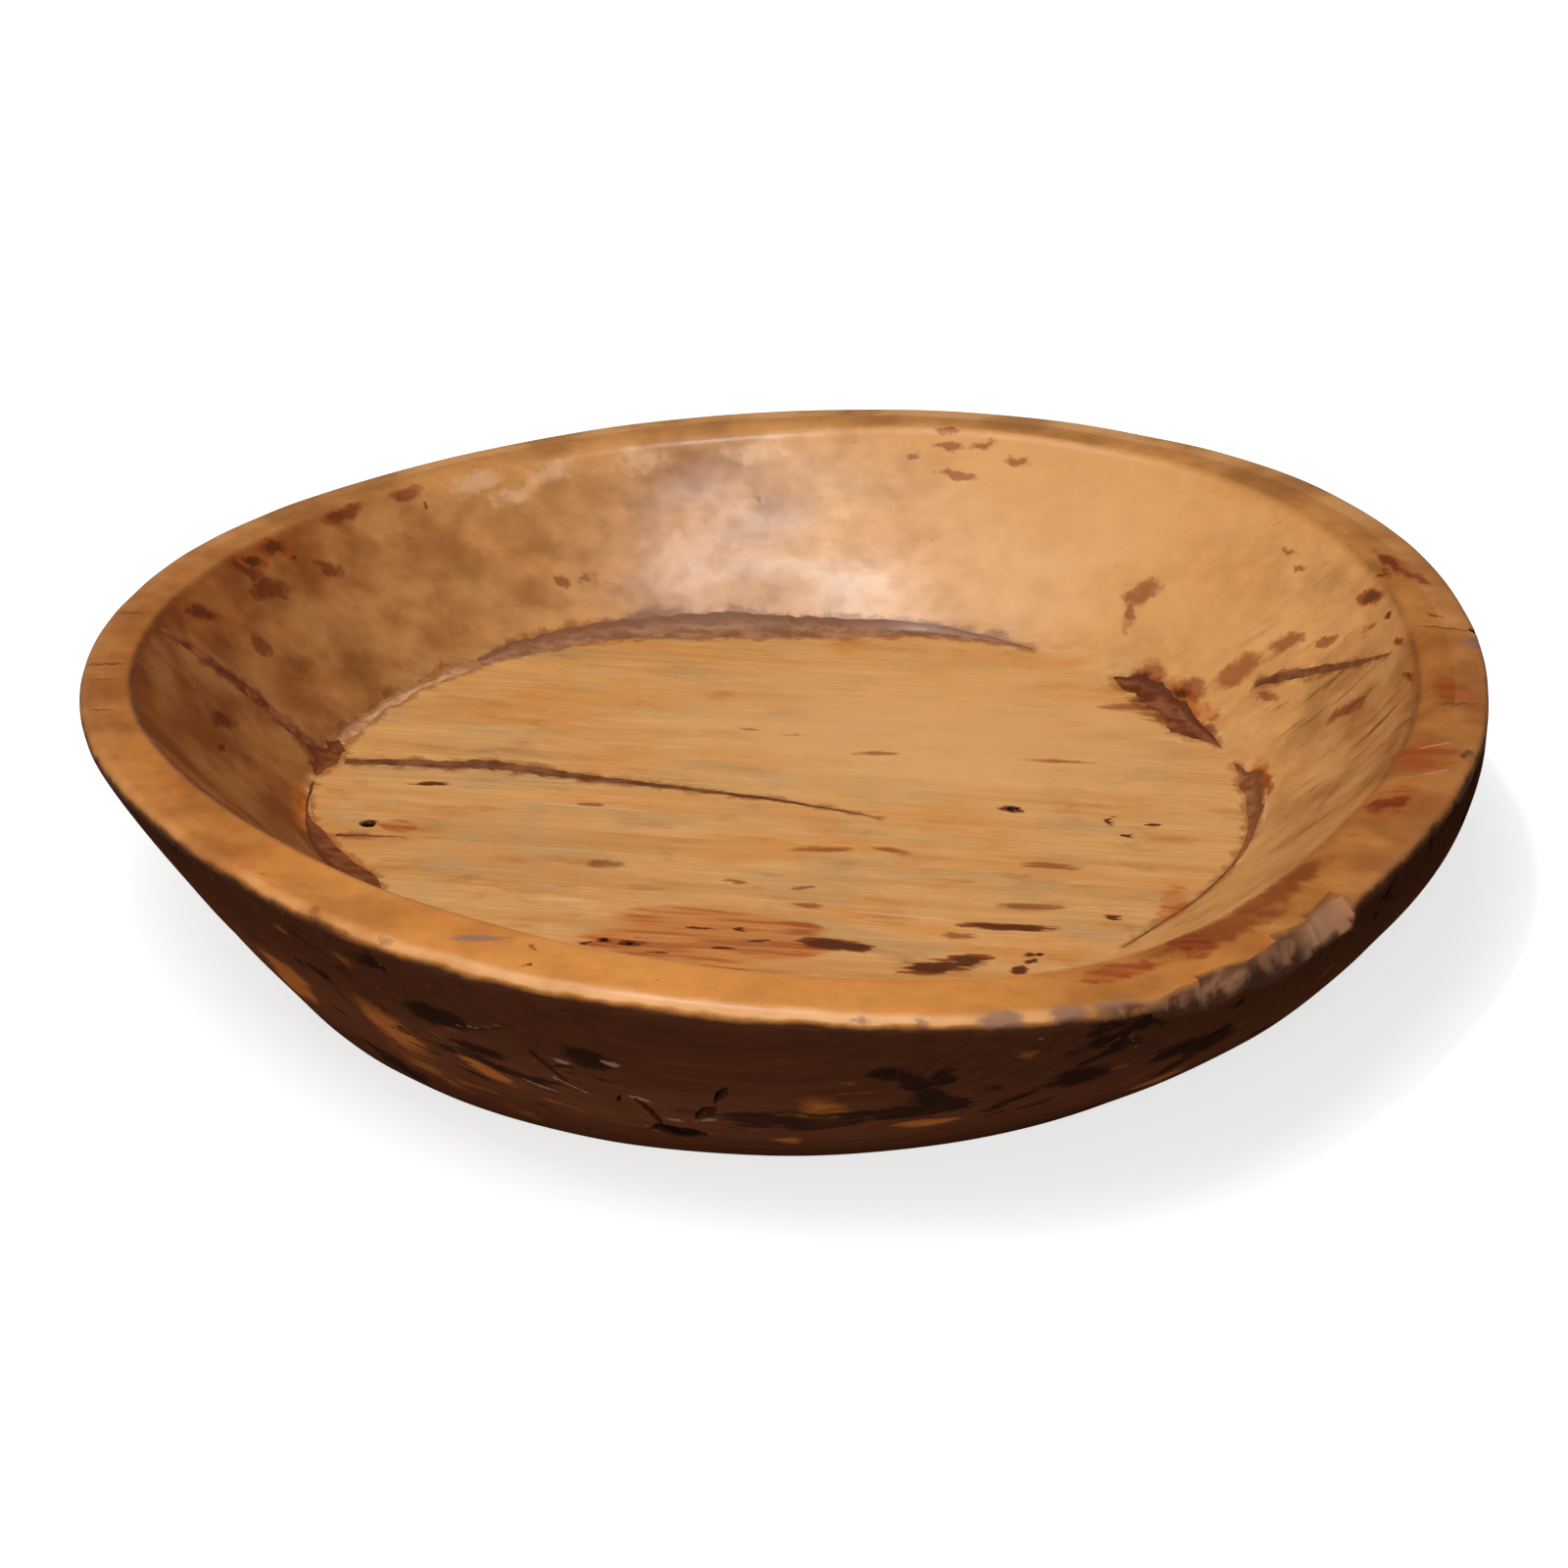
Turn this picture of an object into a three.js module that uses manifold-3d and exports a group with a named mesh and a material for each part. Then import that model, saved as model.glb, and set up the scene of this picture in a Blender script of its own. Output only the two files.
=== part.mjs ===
// Hand-hewn wooden fruit bowl, mm, +Z up, grain along X: one dug-out block of wood and the old
// fills that close its drying checks and the corner between its floor and wall.
import * as THREE from "three";
import { mergeVertices } from "three/addons/utils/BufferGeometryUtils.js";
import Module from "manifold-3d";

// The block
const LENGTH = 563; // rim to rim along the grain
const WIDTH = 510; // rim to rim across the grain
const RIM_HEIGHT = 106; // mean height of the rim's top
const RIM_TWIST = 8; // the wood wound as it dried: two quarters stand up, two sink
const RIM_WIDTH = 25; // mean width of the rim's top
const RIM_ROUND = 4; // outer edge of the rim
const RIM_EASE = 2; // worn inner edge of the rim
const FLOOR_HEIGHT = 36; // inside floor above the table
const WALL_RUN = 67; // how far the inside wall leans out from corner to rim
const WALL_DISH = 4; // hollow of the inside wall at half its height
const BASE_IN_X = 71; // how far the base stands in under the ends
const BASE_IN_Y = 61; // and under the sides
const BASE_SHIFT = 6; // the base lies this far to the rear
const BASE_EASE = 3; // worn edge of the base

// Hand-cut departures from the even form, one every 30 degrees from +X towards +Y
const RIM_HEWN = [0, 9, 0, 0, 5, 8, 0, -7, -1, 0, 8, -7];
const WIDTH_HEWN = [3, -1, -5, -6, -6, -5, -4, 1, 5, 3, 8, 6];
const RUN_HEWN = [-4, -1, -10, 1, -5, -2, -1, 10, 9, 7, 9, 2];
const WALL_FULLNESS = [2.6, 2.0, 1.8, 1.6, 1.4, 1.25, 1.1, 1.2, 1.35, 1.8, 1.5, 1.95];

// Splintered place on the front-right rim
const CHIP_BEARING = -48;
const CHIP_LENGTH = 92;
const CHIP_DROP = 10; // how far it cuts down the outside, and at this slope into the rim's top
const CHIP_SLOPE = 45;
const CHIP_REACH = 60; // thickness of the chopped-off side

// Fills
const FILL_GAP = 0.3; // between a fill and the wood round it
const CRACK_DEPTH = 5; // fill in a drying check
const CRACK_TAPER = 0.5; // bottom width of a check over its top width
const SEAM_DEPTH = 2; // corner fill below the wood's surface
const COVE = 0.55; // how far a corner fill's face is drawn in towards the corner
const SEAM_END = 0.4; // size of a corner fill at its ends, as a share of its middle
const SEAM_BELLY = 0.6; // the lower, the longer a corner fill keeps its full size
const CUT_ABOVE = 3; // cutters stand this far out of the wood
const GROOVE_JOIN = 1.8; // a check's groove runs this far on into the corner fill's recess
const CRACK_CLEAR = 1.2; // between a check's fill and the corner fill it runs up to

// Drying checks: widths at both ends, and courses. On the floor a course is offsets from its start,
// up a wall it is bearings and heights as a share of the wall.
const FLOOR_CRACK_WIDTHS = [6.4, 1.2];
const FLOOR_CRACK = [[22, -1], [46, -3], [62, -3], [94, -12], [128, -20], [185, -34], [224, -48]];
const SHORT_CRACK_WIDTHS = [2, 1.2];
const SHORT_CRACK = [[14, -0.5], [28, -1.5]];
const SHORT_CRACK_BEARING = 183.5;
const SHORT_CRACK_INSET = 10; // from the floor's edge
const END_CRACK_WIDTHS = [3.4, 2];
const END_CRACK = [[164.9, 0.33], [165.7, 0.5], [166.9, 0.68], [168.2, 0.86]];
const RIGHT_CRACK_WIDTHS = [3.2, 1.6];
const RIGHT_CRACK = [[22, 0.27], [17.7, 0.43], [12.4, 0.62], [7, 0.85]];

// Corner fills: bearings of their ends, and how far they reach over the floor and up the wall
const LEFT_CORNER = { from: 160.8, to: 168.4, floorLeg: 7, wallLeg: 8 };
const REAR_LEFT_SEAM = { from: 135, to: 160, floorLeg: 2.6, wallLeg: 3.2 };
const REAR_SEAM = { from: 55, to: 133.5, floorLeg: 5.5, wallLeg: 9.5 };
const RIGHT_REAR_CORNER = { from: 20.5, to: 41, floorLeg: 15, wallLeg: 10 };
const RIGHT_SEAM = { from: -36, to: 14.5, floorLeg: 4.5, wallLeg: 7.5 };
const FRONT_LEFT_SEAM = { from: 186, to: 206, floorLeg: 9, wallLeg: 4.5 };

const SEGMENTS = 96;
const WALL_ROWS = [0.12, 0.25, 0.5, 0.75, 0.95];
const OUTER_ROWS = [0.9, 0.76, 0.6, 0.44, 0.28, 0.14];
const ROUND_ROWS = [90, 45, 0];
const SEAM_STEP = 3; // degrees between a corner fill's sections

const wasm = await Module();
wasm.setup();

const rad = THREE.MathUtils.degToRad;

// Smooth closed curve through values spaced evenly round the bowl
function around(values) {
  const points = values.map((value) => new THREE.Vector3(value, 0, 0));
  const curve = new THREE.CatmullRomCurve3(points, true, "catmullrom", 0.5);
  return (bearing) => curve.getPoint(THREE.MathUtils.euclideanModulo(bearing / 360, 1)).x;
}

const rimHewn = around(RIM_HEWN);
const widthHewn = around(WIDTH_HEWN);
const runHewn = around(RUN_HEWN);
const fullness = around(WALL_FULLNESS);

function polar(radius, bearing, z) {
  return new THREE.Vector3(radius * Math.cos(rad(bearing)), radius * Math.sin(rad(bearing)), z);
}

function rimOuter(bearing) {
  const a = LENGTH / 2;
  const b = WIDTH / 2;
  const oval = (a * b) / Math.hypot(b * Math.cos(rad(bearing)), a * Math.sin(rad(bearing)));
  return oval + rimHewn(bearing);
}

function rimTop(bearing) {
  return RIM_HEIGHT + RIM_TWIST * Math.sin(2 * rad(bearing));
}

function rimInner(bearing) {
  return rimOuter(bearing) - RIM_WIDTH - widthHewn(bearing);
}

function wallRun(bearing) {
  return WALL_RUN + runHewn(bearing);
}

function floorEdge(bearing) {
  return rimInner(bearing) - wallRun(bearing);
}

// Point of the inside wall, from t = 0 at the floor to t = 1 at the rim
function innerWall(bearing, t) {
  const radius = floorEdge(bearing) + wallRun(bearing) * t + 4 * WALL_DISH * t * (1 - t);
  return polar(radius, bearing, FLOOR_HEIGHT + (rimTop(bearing) - FLOOR_HEIGHT) * t);
}

// Point of the outside wall, from s = 0 at the base to s = 1 under the rim's rounded edge
function outerWall(bearing, s) {
  const base = new THREE.Vector3(
    (LENGTH / 2 - BASE_IN_X) * Math.cos(rad(bearing)),
    BASE_SHIFT + (WIDTH / 2 - BASE_IN_Y) * Math.sin(rad(bearing)),
    0,
  );
  const top = rimTop(bearing) - RIM_ROUND;
  const out = 1 - (1 - s) ** fullness(bearing);
  return base.lerp(polar(rimOuter(bearing), bearing, top), out).setZ(top * s);
}

// One line over the bowl's surface, from the floor's edge over the rim to the base's edge
function profile(bearing) {
  const outer = rimOuter(bearing);
  const inner = rimInner(bearing);
  const top = rimTop(bearing);
  const line = [polar(floorEdge(bearing), bearing, FLOOR_HEIGHT)];
  WALL_ROWS.forEach((t) => line.push(innerWall(bearing, t)));
  line.push(polar(inner + RIM_EASE, bearing, top));
  ROUND_ROWS.forEach((turn) => {
    const side = RIM_ROUND * (1 - Math.cos(rad(turn)));
    const drop = RIM_ROUND * (1 - Math.sin(rad(turn)));
    line.push(polar(outer - side, bearing, top - drop));
  });
  OUTER_ROWS.forEach((s) => line.push(outerWall(bearing, s)));
  const foot = outerWall(bearing, BASE_EASE / top);
  line.push(foot);
  line.push(foot.clone().multiplyScalar(1 - BASE_EASE / foot.length()).setZ(0));
  return line;
}

// Closed body from rings of points; the ends are capped unless they are single points
function loft(rings, closedRound) {
  const positions = [];
  const starts = rings.map((ring) => {
    const start = positions.length / 3;
    ring.forEach((p) => positions.push(p.x, p.y, p.z));
    return start;
  });
  const faces = [];
  for (let i = 0; i + 1 < rings.length; i += 1) {
    const n = Math.max(rings[i].length, rings[i + 1].length);
    for (let j = 0; j < n; j += 1) {
      const k = (j + 1) % n;
      const a = starts[i] + (rings[i].length > 1 ? j : 0);
      const b = starts[i] + (rings[i].length > 1 ? k : 0);
      const c = starts[i + 1] + (rings[i + 1].length > 1 ? k : 0);
      const d = starts[i + 1] + (rings[i + 1].length > 1 ? j : 0);
      if (a !== b) faces.push(a, b, c);
      if (c !== d) faces.push(a, c, d);
    }
  }
  if (closedRound) {
    const last = rings.length - 1;
    for (let j = 1; j + 1 < closedRound.length; j += 1) {
      const [a, b, c] = [closedRound[0], closedRound[j], closedRound[j + 1]];
      faces.push(starts[0] + a, starts[0] + c, starts[0] + b);
      faces.push(starts[last] + a, starts[last] + b, starts[last] + c);
    }
  }
  const geometry = new THREE.BufferGeometry();
  geometry.setAttribute("position", new THREE.Float32BufferAttribute(positions, 3));
  geometry.setIndex(faces);
  return facingOut(geometry);
}

function signedVolume(geometry) {
  const position = geometry.getAttribute("position");
  const index = geometry.getIndex();
  const [a, b, c] = [new THREE.Vector3(), new THREE.Vector3(), new THREE.Vector3()];
  let volume = 0;
  for (let i = 0; i < index.count; i += 3) {
    a.fromBufferAttribute(position, index.getX(i));
    b.fromBufferAttribute(position, index.getX(i + 1));
    c.fromBufferAttribute(position, index.getX(i + 2));
    volume += a.dot(b.cross(c)) / 6;
  }
  return volume;
}

function facingOut(geometry) {
  if (signedVolume(geometry) > 0) return geometry;
  const index = geometry.getIndex();
  for (let i = 0; i < index.count; i += 3) {
    const swap = index.getX(i + 1);
    index.setX(i + 1, index.getX(i + 2));
    index.setX(i + 2, swap);
  }
  return geometry;
}

function toSolid(geometry) {
  const bare = geometry.clone();
  bare.deleteAttribute("normal");
  bare.deleteAttribute("uv");
  const merged = mergeVertices(bare, 1e-4);
  const mesh = new wasm.Mesh({
    numProp: 3,
    vertProperties: Float32Array.from(merged.getAttribute("position").array),
    triVerts: Uint32Array.from(merged.getIndex().array),
  });
  return new wasm.Manifold(mesh);
}

function fromSolid(solid) {
  const mesh = solid.getMesh();
  const geometry = new THREE.BufferGeometry();
  geometry.setAttribute("position", new THREE.Float32BufferAttribute(mesh.vertProperties, 3));
  geometry.setIndex(Array.from(mesh.triVerts));
  return geometry;
}

function bowlBlock() {
  const lines = [];
  for (let i = 0; i < SEGMENTS; i += 1) lines.push(profile((360 * i) / SEGMENTS));
  const rows = lines[0].map((_, row) => lines.map((line) => line[row]));
  const floorMiddle = [new THREE.Vector3(0, 0, FLOOR_HEIGHT)];
  const baseMiddle = [new THREE.Vector3(0, BASE_SHIFT, 0)];
  return loft([floorMiddle, ...rows, baseMiddle]);
}

// The chip is one slanting chop across the rim's outer edge
function chipCutter() {
  const block = new THREE.BoxGeometry(CHIP_REACH, CHIP_LENGTH, CHIP_REACH);
  block.translate(CHIP_REACH / 2, 0, 0);
  block.rotateY(-rad(CHIP_SLOPE));
  const edge = rimOuter(CHIP_BEARING) - CHIP_DROP / 2;
  block.translate(edge, 0, rimTop(CHIP_BEARING) - CHIP_DROP / 2);
  block.rotateZ(rad(CHIP_BEARING));
  return block;
}

// Fill of a drying check: stations hold a point on the surface, the surface's outward side there
// and the check's width. Returns the fill and the cutter for its groove.
function crack(stations) {
  const points = stations.map((s) => s.point);
  const section = (i, gap, above) => {
    const { point, out, width } = stations[i];
    const before = points[Math.max(i - 1, 0)];
    const after = points[Math.min(i + 1, points.length - 1)];
    const along = after.clone().sub(before).normalize();
    const side = out.clone().cross(along).normalize();
    const slant = ((1 - CRACK_TAPER) * width) / 2 / CRACK_DEPTH;
    const at = (across, up) => point.clone().addScaledVector(side, across).addScaledVector(out, up);
    const low = (width * CRACK_TAPER) / 2 + gap;
    const high = width / 2 + gap + slant * above;
    const deep = -CRACK_DEPTH - gap;
    const ring = [at(-high, above), at(-low, deep), at(low, deep), at(high, above)];
    if (gap === 0) return ring;
    const beyond = stations[i].open ? GROOVE_JOIN : gap;
    const end = i === 0 ? -beyond : Number(i === points.length - 1) * beyond;
    return ring.map((p) => p.addScaledVector(along, end));
  };
  const fill = loft(stations.map((_, i) => section(i, 0, 0)), [0, 1, 2, 3]);
  const cutter = loft(stations.map((_, i) => section(i, FILL_GAP, CUT_ABOVE)), [0, 1, 2, 3]);
  return { fill, cutter };
}

// Fill of the corner between two bearings, and the cutter for its recess. It swells towards its
// middle, where it reaches its full legs.
function seam({ from, to, floorLeg, wallLeg }) {
  const steps = 2 * Math.ceil((to - from) / SEAM_STEP / 2);
  const section = (i, gap) => {
    const share = i / steps;
    const size = SEAM_END + (1 - SEAM_END) * Math.sin(Math.PI * share) ** SEAM_BELLY;
    const arc = rad(1) * floorEdge((from + to) / 2);
    const end = i === 0 ? -gap / arc : Number(i === steps) * (gap / arc);
    const bearing = from + (to - from) * share + end;
    const corner = polar(floorEdge(bearing), bearing, FLOOR_HEIGHT);
    const outward = polar(1, bearing, 0);
    const up = new THREE.Vector3(0, 0, 1);
    const slope = innerWall(bearing, WALL_ROWS[0]).sub(corner).normalize();
    const inward = up.clone().multiplyScalar(slope.dot(outward));
    inward.addScaledVector(outward, -slope.z);
    const over = floorLeg * size + gap;
    const rise = wallLeg * size + gap;
    const deep = SEAM_DEPTH + gap;
    const above = gap ? CUT_ABOVE : 0;
    const floorPoint = (a, b) => corner.clone().addScaledVector(outward, a).addScaledVector(up, b);
    const wallPoint = (a, b) => corner.clone().addScaledVector(slope, a).addScaledVector(inward, b);
    const root = floorPoint(deep * Math.tan(slope.angleTo(outward) / 2), -deep);
    const onFloor = floorPoint(-over, above);
    const onWall = wallPoint(rise, above);
    const face = [2 / 3, 1 / 3].map((w) => {
      const chord = onFloor.clone().lerp(onWall, w);
      return gap ? chord : chord.lerp(corner, COVE * 4 * w * (1 - w));
    });
    return [root, wallPoint(rise, -deep), onWall, ...face, onFloor, floorPoint(-over, -deep)];
  };
  const range = Array.from({ length: steps + 1 }, (_, i) => i);
  const cap = [0, 1, 2, 3, 4, 5, 6];
  return {
    fill: loft(range.map((i) => section(i, 0)), cap),
    cutter: loft(range.map((i) => section(i, FILL_GAP)), cap),
  };
}

// Stations of a check in the floor, through plan offsets from its start
function floorStations(start, offsets, [width, endWidth], open) {
  const course = [[0, 0], ...offsets];
  const points = course.map(([x, y]) => new THREE.Vector3(start.x + x, start.y + y, FLOOR_HEIGHT));
  const curve = new THREE.CatmullRomCurve3(points);
  const count = offsets.length * 2;
  return curve.getPoints(count).map((point, i) => ({
    point,
    out: new THREE.Vector3(0, 0, 1),
    width: THREE.MathUtils.lerp(width, endWidth, i / count),
    open: open && i === 0,
  }));
}

// Stations of a check up the inside wall, through bearings and heights along the wall
function wallStations(path, [width, endWidth], open) {
  const count = path.length * 2;
  const curve = new THREE.SplineCurve(path.map(([bearing, t]) => new THREE.Vector2(bearing, t)));
  return curve.getPoints(count).map(({ x, y }, i) => {
    const point = innerWall(x, y);
    const round = innerWall(x + 0.5, y).sub(innerWall(x - 0.5, y));
    const up = innerWall(x, y + 0.02).sub(innerWall(x, y - 0.02));
    return {
      point,
      out: up.cross(round).normalize(),
      width: THREE.MathUtils.lerp(width, endWidth, i / count),
      open: open && i === 0,
    };
  });
}

const leftBearing = (LEFT_CORNER.from + LEFT_CORNER.to) / 2;
const leftReach = floorEdge(leftBearing) - LEFT_CORNER.floorLeg - CRACK_CLEAR;
const wallLength = innerWall(leftBearing, 1).distanceTo(innerWall(leftBearing, 0));
const wallStart = (LEFT_CORNER.wallLeg + CRACK_CLEAR) / wallLength;
const floorStart = polar(leftReach, leftBearing, FLOOR_HEIGHT);
const shortReach = floorEdge(SHORT_CRACK_BEARING) - SHORT_CRACK_INSET;
const shortStart = polar(shortReach, SHORT_CRACK_BEARING, FLOOR_HEIGHT);
const endCourse = [[leftBearing, wallStart], ...END_CRACK];

const fills = {
  floor_crack_fill: crack(floorStations(floorStart, FLOOR_CRACK, FLOOR_CRACK_WIDTHS, true)),
  short_floor_crack_fill: crack(floorStations(shortStart, SHORT_CRACK, SHORT_CRACK_WIDTHS, false)),
  end_wall_crack_fill: crack(wallStations(endCourse, END_CRACK_WIDTHS, true)),
  right_wall_crack_fill: crack(wallStations(RIGHT_CRACK, RIGHT_CRACK_WIDTHS, false)),
  left_corner_fill: seam(LEFT_CORNER),
  rear_left_seam_fill: seam(REAR_LEFT_SEAM),
  rear_seam_fill: seam(REAR_SEAM),
  right_rear_corner_fill: seam(RIGHT_REAR_CORNER),
  right_seam_fill: seam(RIGHT_SEAM),
  front_left_seam_fill: seam(FRONT_LEFT_SEAM),
};

let body = toSolid(bowlBlock()).subtract(toSolid(chipCutter()));
Object.values(fills).forEach(({ cutter }) => {
  body = body.subtract(toSolid(cutter));
});

const COLOURS = {
  bowl_body: 0xa9692f,
  rear_left_seam_fill: 0xb98a5c,
  rear_seam_fill: 0x6d4a31,
  right_seam_fill: 0x7a5030,
};

function piece(name, geometry) {
  const colour = COLOURS[name] ?? 0x4a2a16;
  const material = new THREE.MeshStandardMaterial({ name, color: colour, roughness: 0.45 });
  const mesh = new THREE.Mesh(geometry, material);
  mesh.name = name;
  return mesh;
}

const bowl = new THREE.Group();
bowl.name = "wooden_fruit_bowl";
bowl.add(piece("bowl_body", fromSolid(body)));
Object.entries(fills).forEach(([name, { fill }]) => bowl.add(piece(name, fill)));

export default bowl;
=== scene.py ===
# %% [markdown]
# # A hand-hewn wooden fruit bowl
# The bowl is dug out of one block of wood with an adze, then waxed, used, split by drying and
# mended with dark filler and wax. This lesson builds its looks around a fixed frame: the frame
# holds the plain solids at their real size, and every piece below takes its place from them.
# Sizes are written in millimetres and turned into metres when a mesh is made.

# %% Load the frame
import math

import bmesh
import bpy
import numpy as np
from mathutils import Matrix, Vector, noise
from mathutils.bvhtree import BVHTree


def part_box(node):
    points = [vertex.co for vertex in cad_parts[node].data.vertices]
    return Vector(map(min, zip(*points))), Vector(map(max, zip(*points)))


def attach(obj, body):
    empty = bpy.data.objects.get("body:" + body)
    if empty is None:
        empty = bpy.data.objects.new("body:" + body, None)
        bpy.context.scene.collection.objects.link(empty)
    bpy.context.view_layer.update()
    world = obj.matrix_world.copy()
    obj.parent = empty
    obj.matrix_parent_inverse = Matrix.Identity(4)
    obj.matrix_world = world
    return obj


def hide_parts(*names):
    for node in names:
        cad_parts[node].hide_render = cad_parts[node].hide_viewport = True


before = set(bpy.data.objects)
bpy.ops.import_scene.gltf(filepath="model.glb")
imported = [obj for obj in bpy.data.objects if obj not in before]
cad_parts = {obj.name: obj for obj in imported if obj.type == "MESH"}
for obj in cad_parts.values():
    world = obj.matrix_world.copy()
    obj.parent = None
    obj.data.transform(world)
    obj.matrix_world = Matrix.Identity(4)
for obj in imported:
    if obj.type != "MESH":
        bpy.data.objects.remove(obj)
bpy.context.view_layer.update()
MM = 0.001

body_low, body_high = (np.array(corner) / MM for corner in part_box("bowl_body"))
print("bowl body measures, mm:", np.round(body_high - body_low, 1))

# %% [markdown]
# ## The camera
# The photograph looks down on the bowl from the front, from a good way off, so the far side
# shrinks only a little. A long lens at the same distance and tilt gives the same shrinking.

# %% Set the camera
EYE = (0, -1424, 856)
EYE_TILT = 60.6
LENS = 92.3
SENSOR = 36

lens = bpy.data.cameras.new("photo_view")
lens.sensor_width = SENSOR
lens.lens = LENS
camera = bpy.data.objects.new("photo_view", lens)
camera.location = Vector(EYE) * MM
camera.rotation_euler = (math.radians(EYE_TILT), 0, 0)
bpy.context.scene.collection.objects.link(camera)
bpy.context.scene.camera = camera
print("camera stands", round(Vector(EYE).length), "mm from the bowl's foot")

# %% [markdown]
# ## The hewn form
# No line of the bowl is true: the oval of the rim bulges and flattens, the rim's width changes,
# the walls lean more or less. A spin of one profile would look turned on a lathe. So the form is
# an even oval plus hand-cut departures, one every 30 degrees from +X towards +Y, joined by a
# smooth closed curve. The same rules shape the solids of the frame.

# %% Even form and hand-cut departures
LENGTH = body_high[0] - body_low[0]
WIDTH = body_high[1] - body_low[1]
RIM_HEIGHT = 106
RIM_TWIST = 8
RIM_WIDTH = 25
RIM_ROUND = 4
FLOOR_HEIGHT = 36
WALL_RUN = 67
WALL_DISH = 4
BASE_IN = (71, 61)
BASE_SHIFT = 6
BASE_EASE = 3

RIM_HEWN = [0, 9, 0, 0, 5, 8, 0, -7, -1, 0, 8, -7]
WIDTH_HEWN = [3, -1, -5, -6, -6, -5, -4, 1, 5, 3, 8, 6]
RUN_HEWN = [-4, -1, -10, 1, -5, -2, -1, 10, 9, 7, 9, 2]
WALL_FULLNESS = [2.6, 2.0, 1.8, 1.6, 1.4, 1.25, 1.1, 1.2, 1.35, 1.8, 1.5, 1.95]


def around(values):
    """Smooth closed curve through values spaced evenly round the bowl."""
    held = np.array(values, float)
    count = len(held)

    def at(bearing):
        place = (np.asarray(bearing, float) / 360 * count) % count
        left = np.floor(place).astype(int)
        share = place - left
        a, b, c, d = (held[(left + step) % count] for step in (-1, 0, 1, 2))
        cubic = 3 * (b - c) + d - a
        square = 2 * a - 5 * b + 4 * c - d
        return b + 0.5 * share * (c - a + share * (square + share * cubic))

    return at


rim_hewn = around(RIM_HEWN)
width_hewn = around(WIDTH_HEWN)
run_hewn = around(RUN_HEWN)
fullness = around(WALL_FULLNESS)
print("rim departs from the oval by", min(RIM_HEWN), "to", max(RIM_HEWN), "mm")

# %% Surfaces of the form
UP = np.array([0.0, 0.0, 1.0])


def polar(radius, bearing, height):
    turn = np.radians(bearing)
    radius, turn, height = np.broadcast_arrays(radius, turn, height)
    return np.stack([radius * np.cos(turn), radius * np.sin(turn), height], -1).astype(float)


def rim_outer(bearing):
    a, b = LENGTH / 2, WIDTH / 2
    turn = np.radians(bearing)
    return a * b / np.hypot(b * np.cos(turn), a * np.sin(turn)) + rim_hewn(bearing)


def rim_top(bearing):
    return RIM_HEIGHT + RIM_TWIST * np.sin(2 * np.radians(bearing))


def rim_width(bearing):
    return RIM_WIDTH + width_hewn(bearing)


def rim_inner(bearing):
    return rim_outer(bearing) - rim_width(bearing)


def wall_run(bearing):
    return WALL_RUN + run_hewn(bearing)


def floor_edge(bearing):
    return rim_inner(bearing) - wall_run(bearing)


def inner_wall(bearing, share):
    """Inside wall, from share 0 at the floor to 1 at the rim."""
    radius = floor_edge(bearing) + wall_run(bearing) * share + 4 * WALL_DISH * share * (1 - share)
    return polar(radius, bearing, FLOOR_HEIGHT + (rim_top(bearing) - FLOOR_HEIGHT) * share)


def rim_face(bearing, share):
    """Top of the rim, from its inner to its outer edge."""
    return polar(rim_inner(bearing) + rim_width(bearing) * share, bearing, rim_top(bearing))


def outer_wall(bearing, share):
    """Outside wall, from the base to just under the rim's rounded edge."""
    bearing, share = np.broadcast_arrays(np.asarray(bearing, float), np.asarray(share, float))
    turn = np.radians(bearing)
    foot_x = (LENGTH / 2 - BASE_IN[0]) * np.cos(turn)
    foot_y = BASE_SHIFT + (WIDTH / 2 - BASE_IN[1]) * np.sin(turn)
    top = rim_top(bearing) - RIM_ROUND
    out = (1 - (1 - share) ** fullness(bearing))[..., None]
    foot = np.stack([foot_x, foot_y, 0 * turn], -1)
    point = foot * (1 - out) + polar(rim_outer(bearing), bearing, top) * out
    point[..., 2] = top * share
    return point


print("floor reaches", np.round(floor_edge(np.array([0, 90, 180, 270]))), "mm from the middle")

# %% [markdown]
# ## The skin of the block
# The surface runs from the middle of the floor, over the corner, up the wall, over the rim and
# down the outside to the middle of the base. A subdivided copy of the plain solid would stay
# faceted where it matters, so the skin is laid anew as rings of points. The edges are worn by
# hands: sharp at the left end, broadly rounded in front, where the bowl is carried.

# %% Lay the rings
FLOOR_ROUND = 3
INNER_ROUND = around([9, 7, 5, 6, 7, 4, 3, 3, 4, 5, 9, 11])
OUTER_ROUND = around([4, 4, 4, 4, 5, 5, 5, 6, 8, 10, 7, 5])
SEGMENTS = 440
BUSY_PLACES = {308: 24, 261: 20, 178: 16, 6: 12}
BUSY_GAIN = 0.9
FLOOR_SWING = 0.3
RIM_SWING = 0.5
OUTSIDE_SWING = 1.1
HEEL_SWING = 0.1
WORN_REAR = 0.8
RING_COUNTS = {
    "floor": 43, "corner": 4, "wall": 41, "lip": 7, "rim": 11, "brim": 9, "outside": 55, "heel": 3,
}
SOLE_SHARES = (0.9, 0.75, 0.6, 0.45, 0.3, 0.15)


def spread_bearings():
    """Bearings of the profiles, closer together at the chip, the knot and the end checks."""
    fine = np.linspace(0, 360, 3601)
    crowd = np.ones_like(fine)
    for middle, reach in BUSY_PLACES.items():
        away = (fine - middle + 180) % 360 - 180
        crowd += BUSY_GAIN * np.exp(-((away / reach) ** 2))
    total = np.cumsum(crowd) - crowd[0]
    return np.interp(np.arange(SEGMENTS) / SEGMENTS * total[-1], total, fine)


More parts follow.
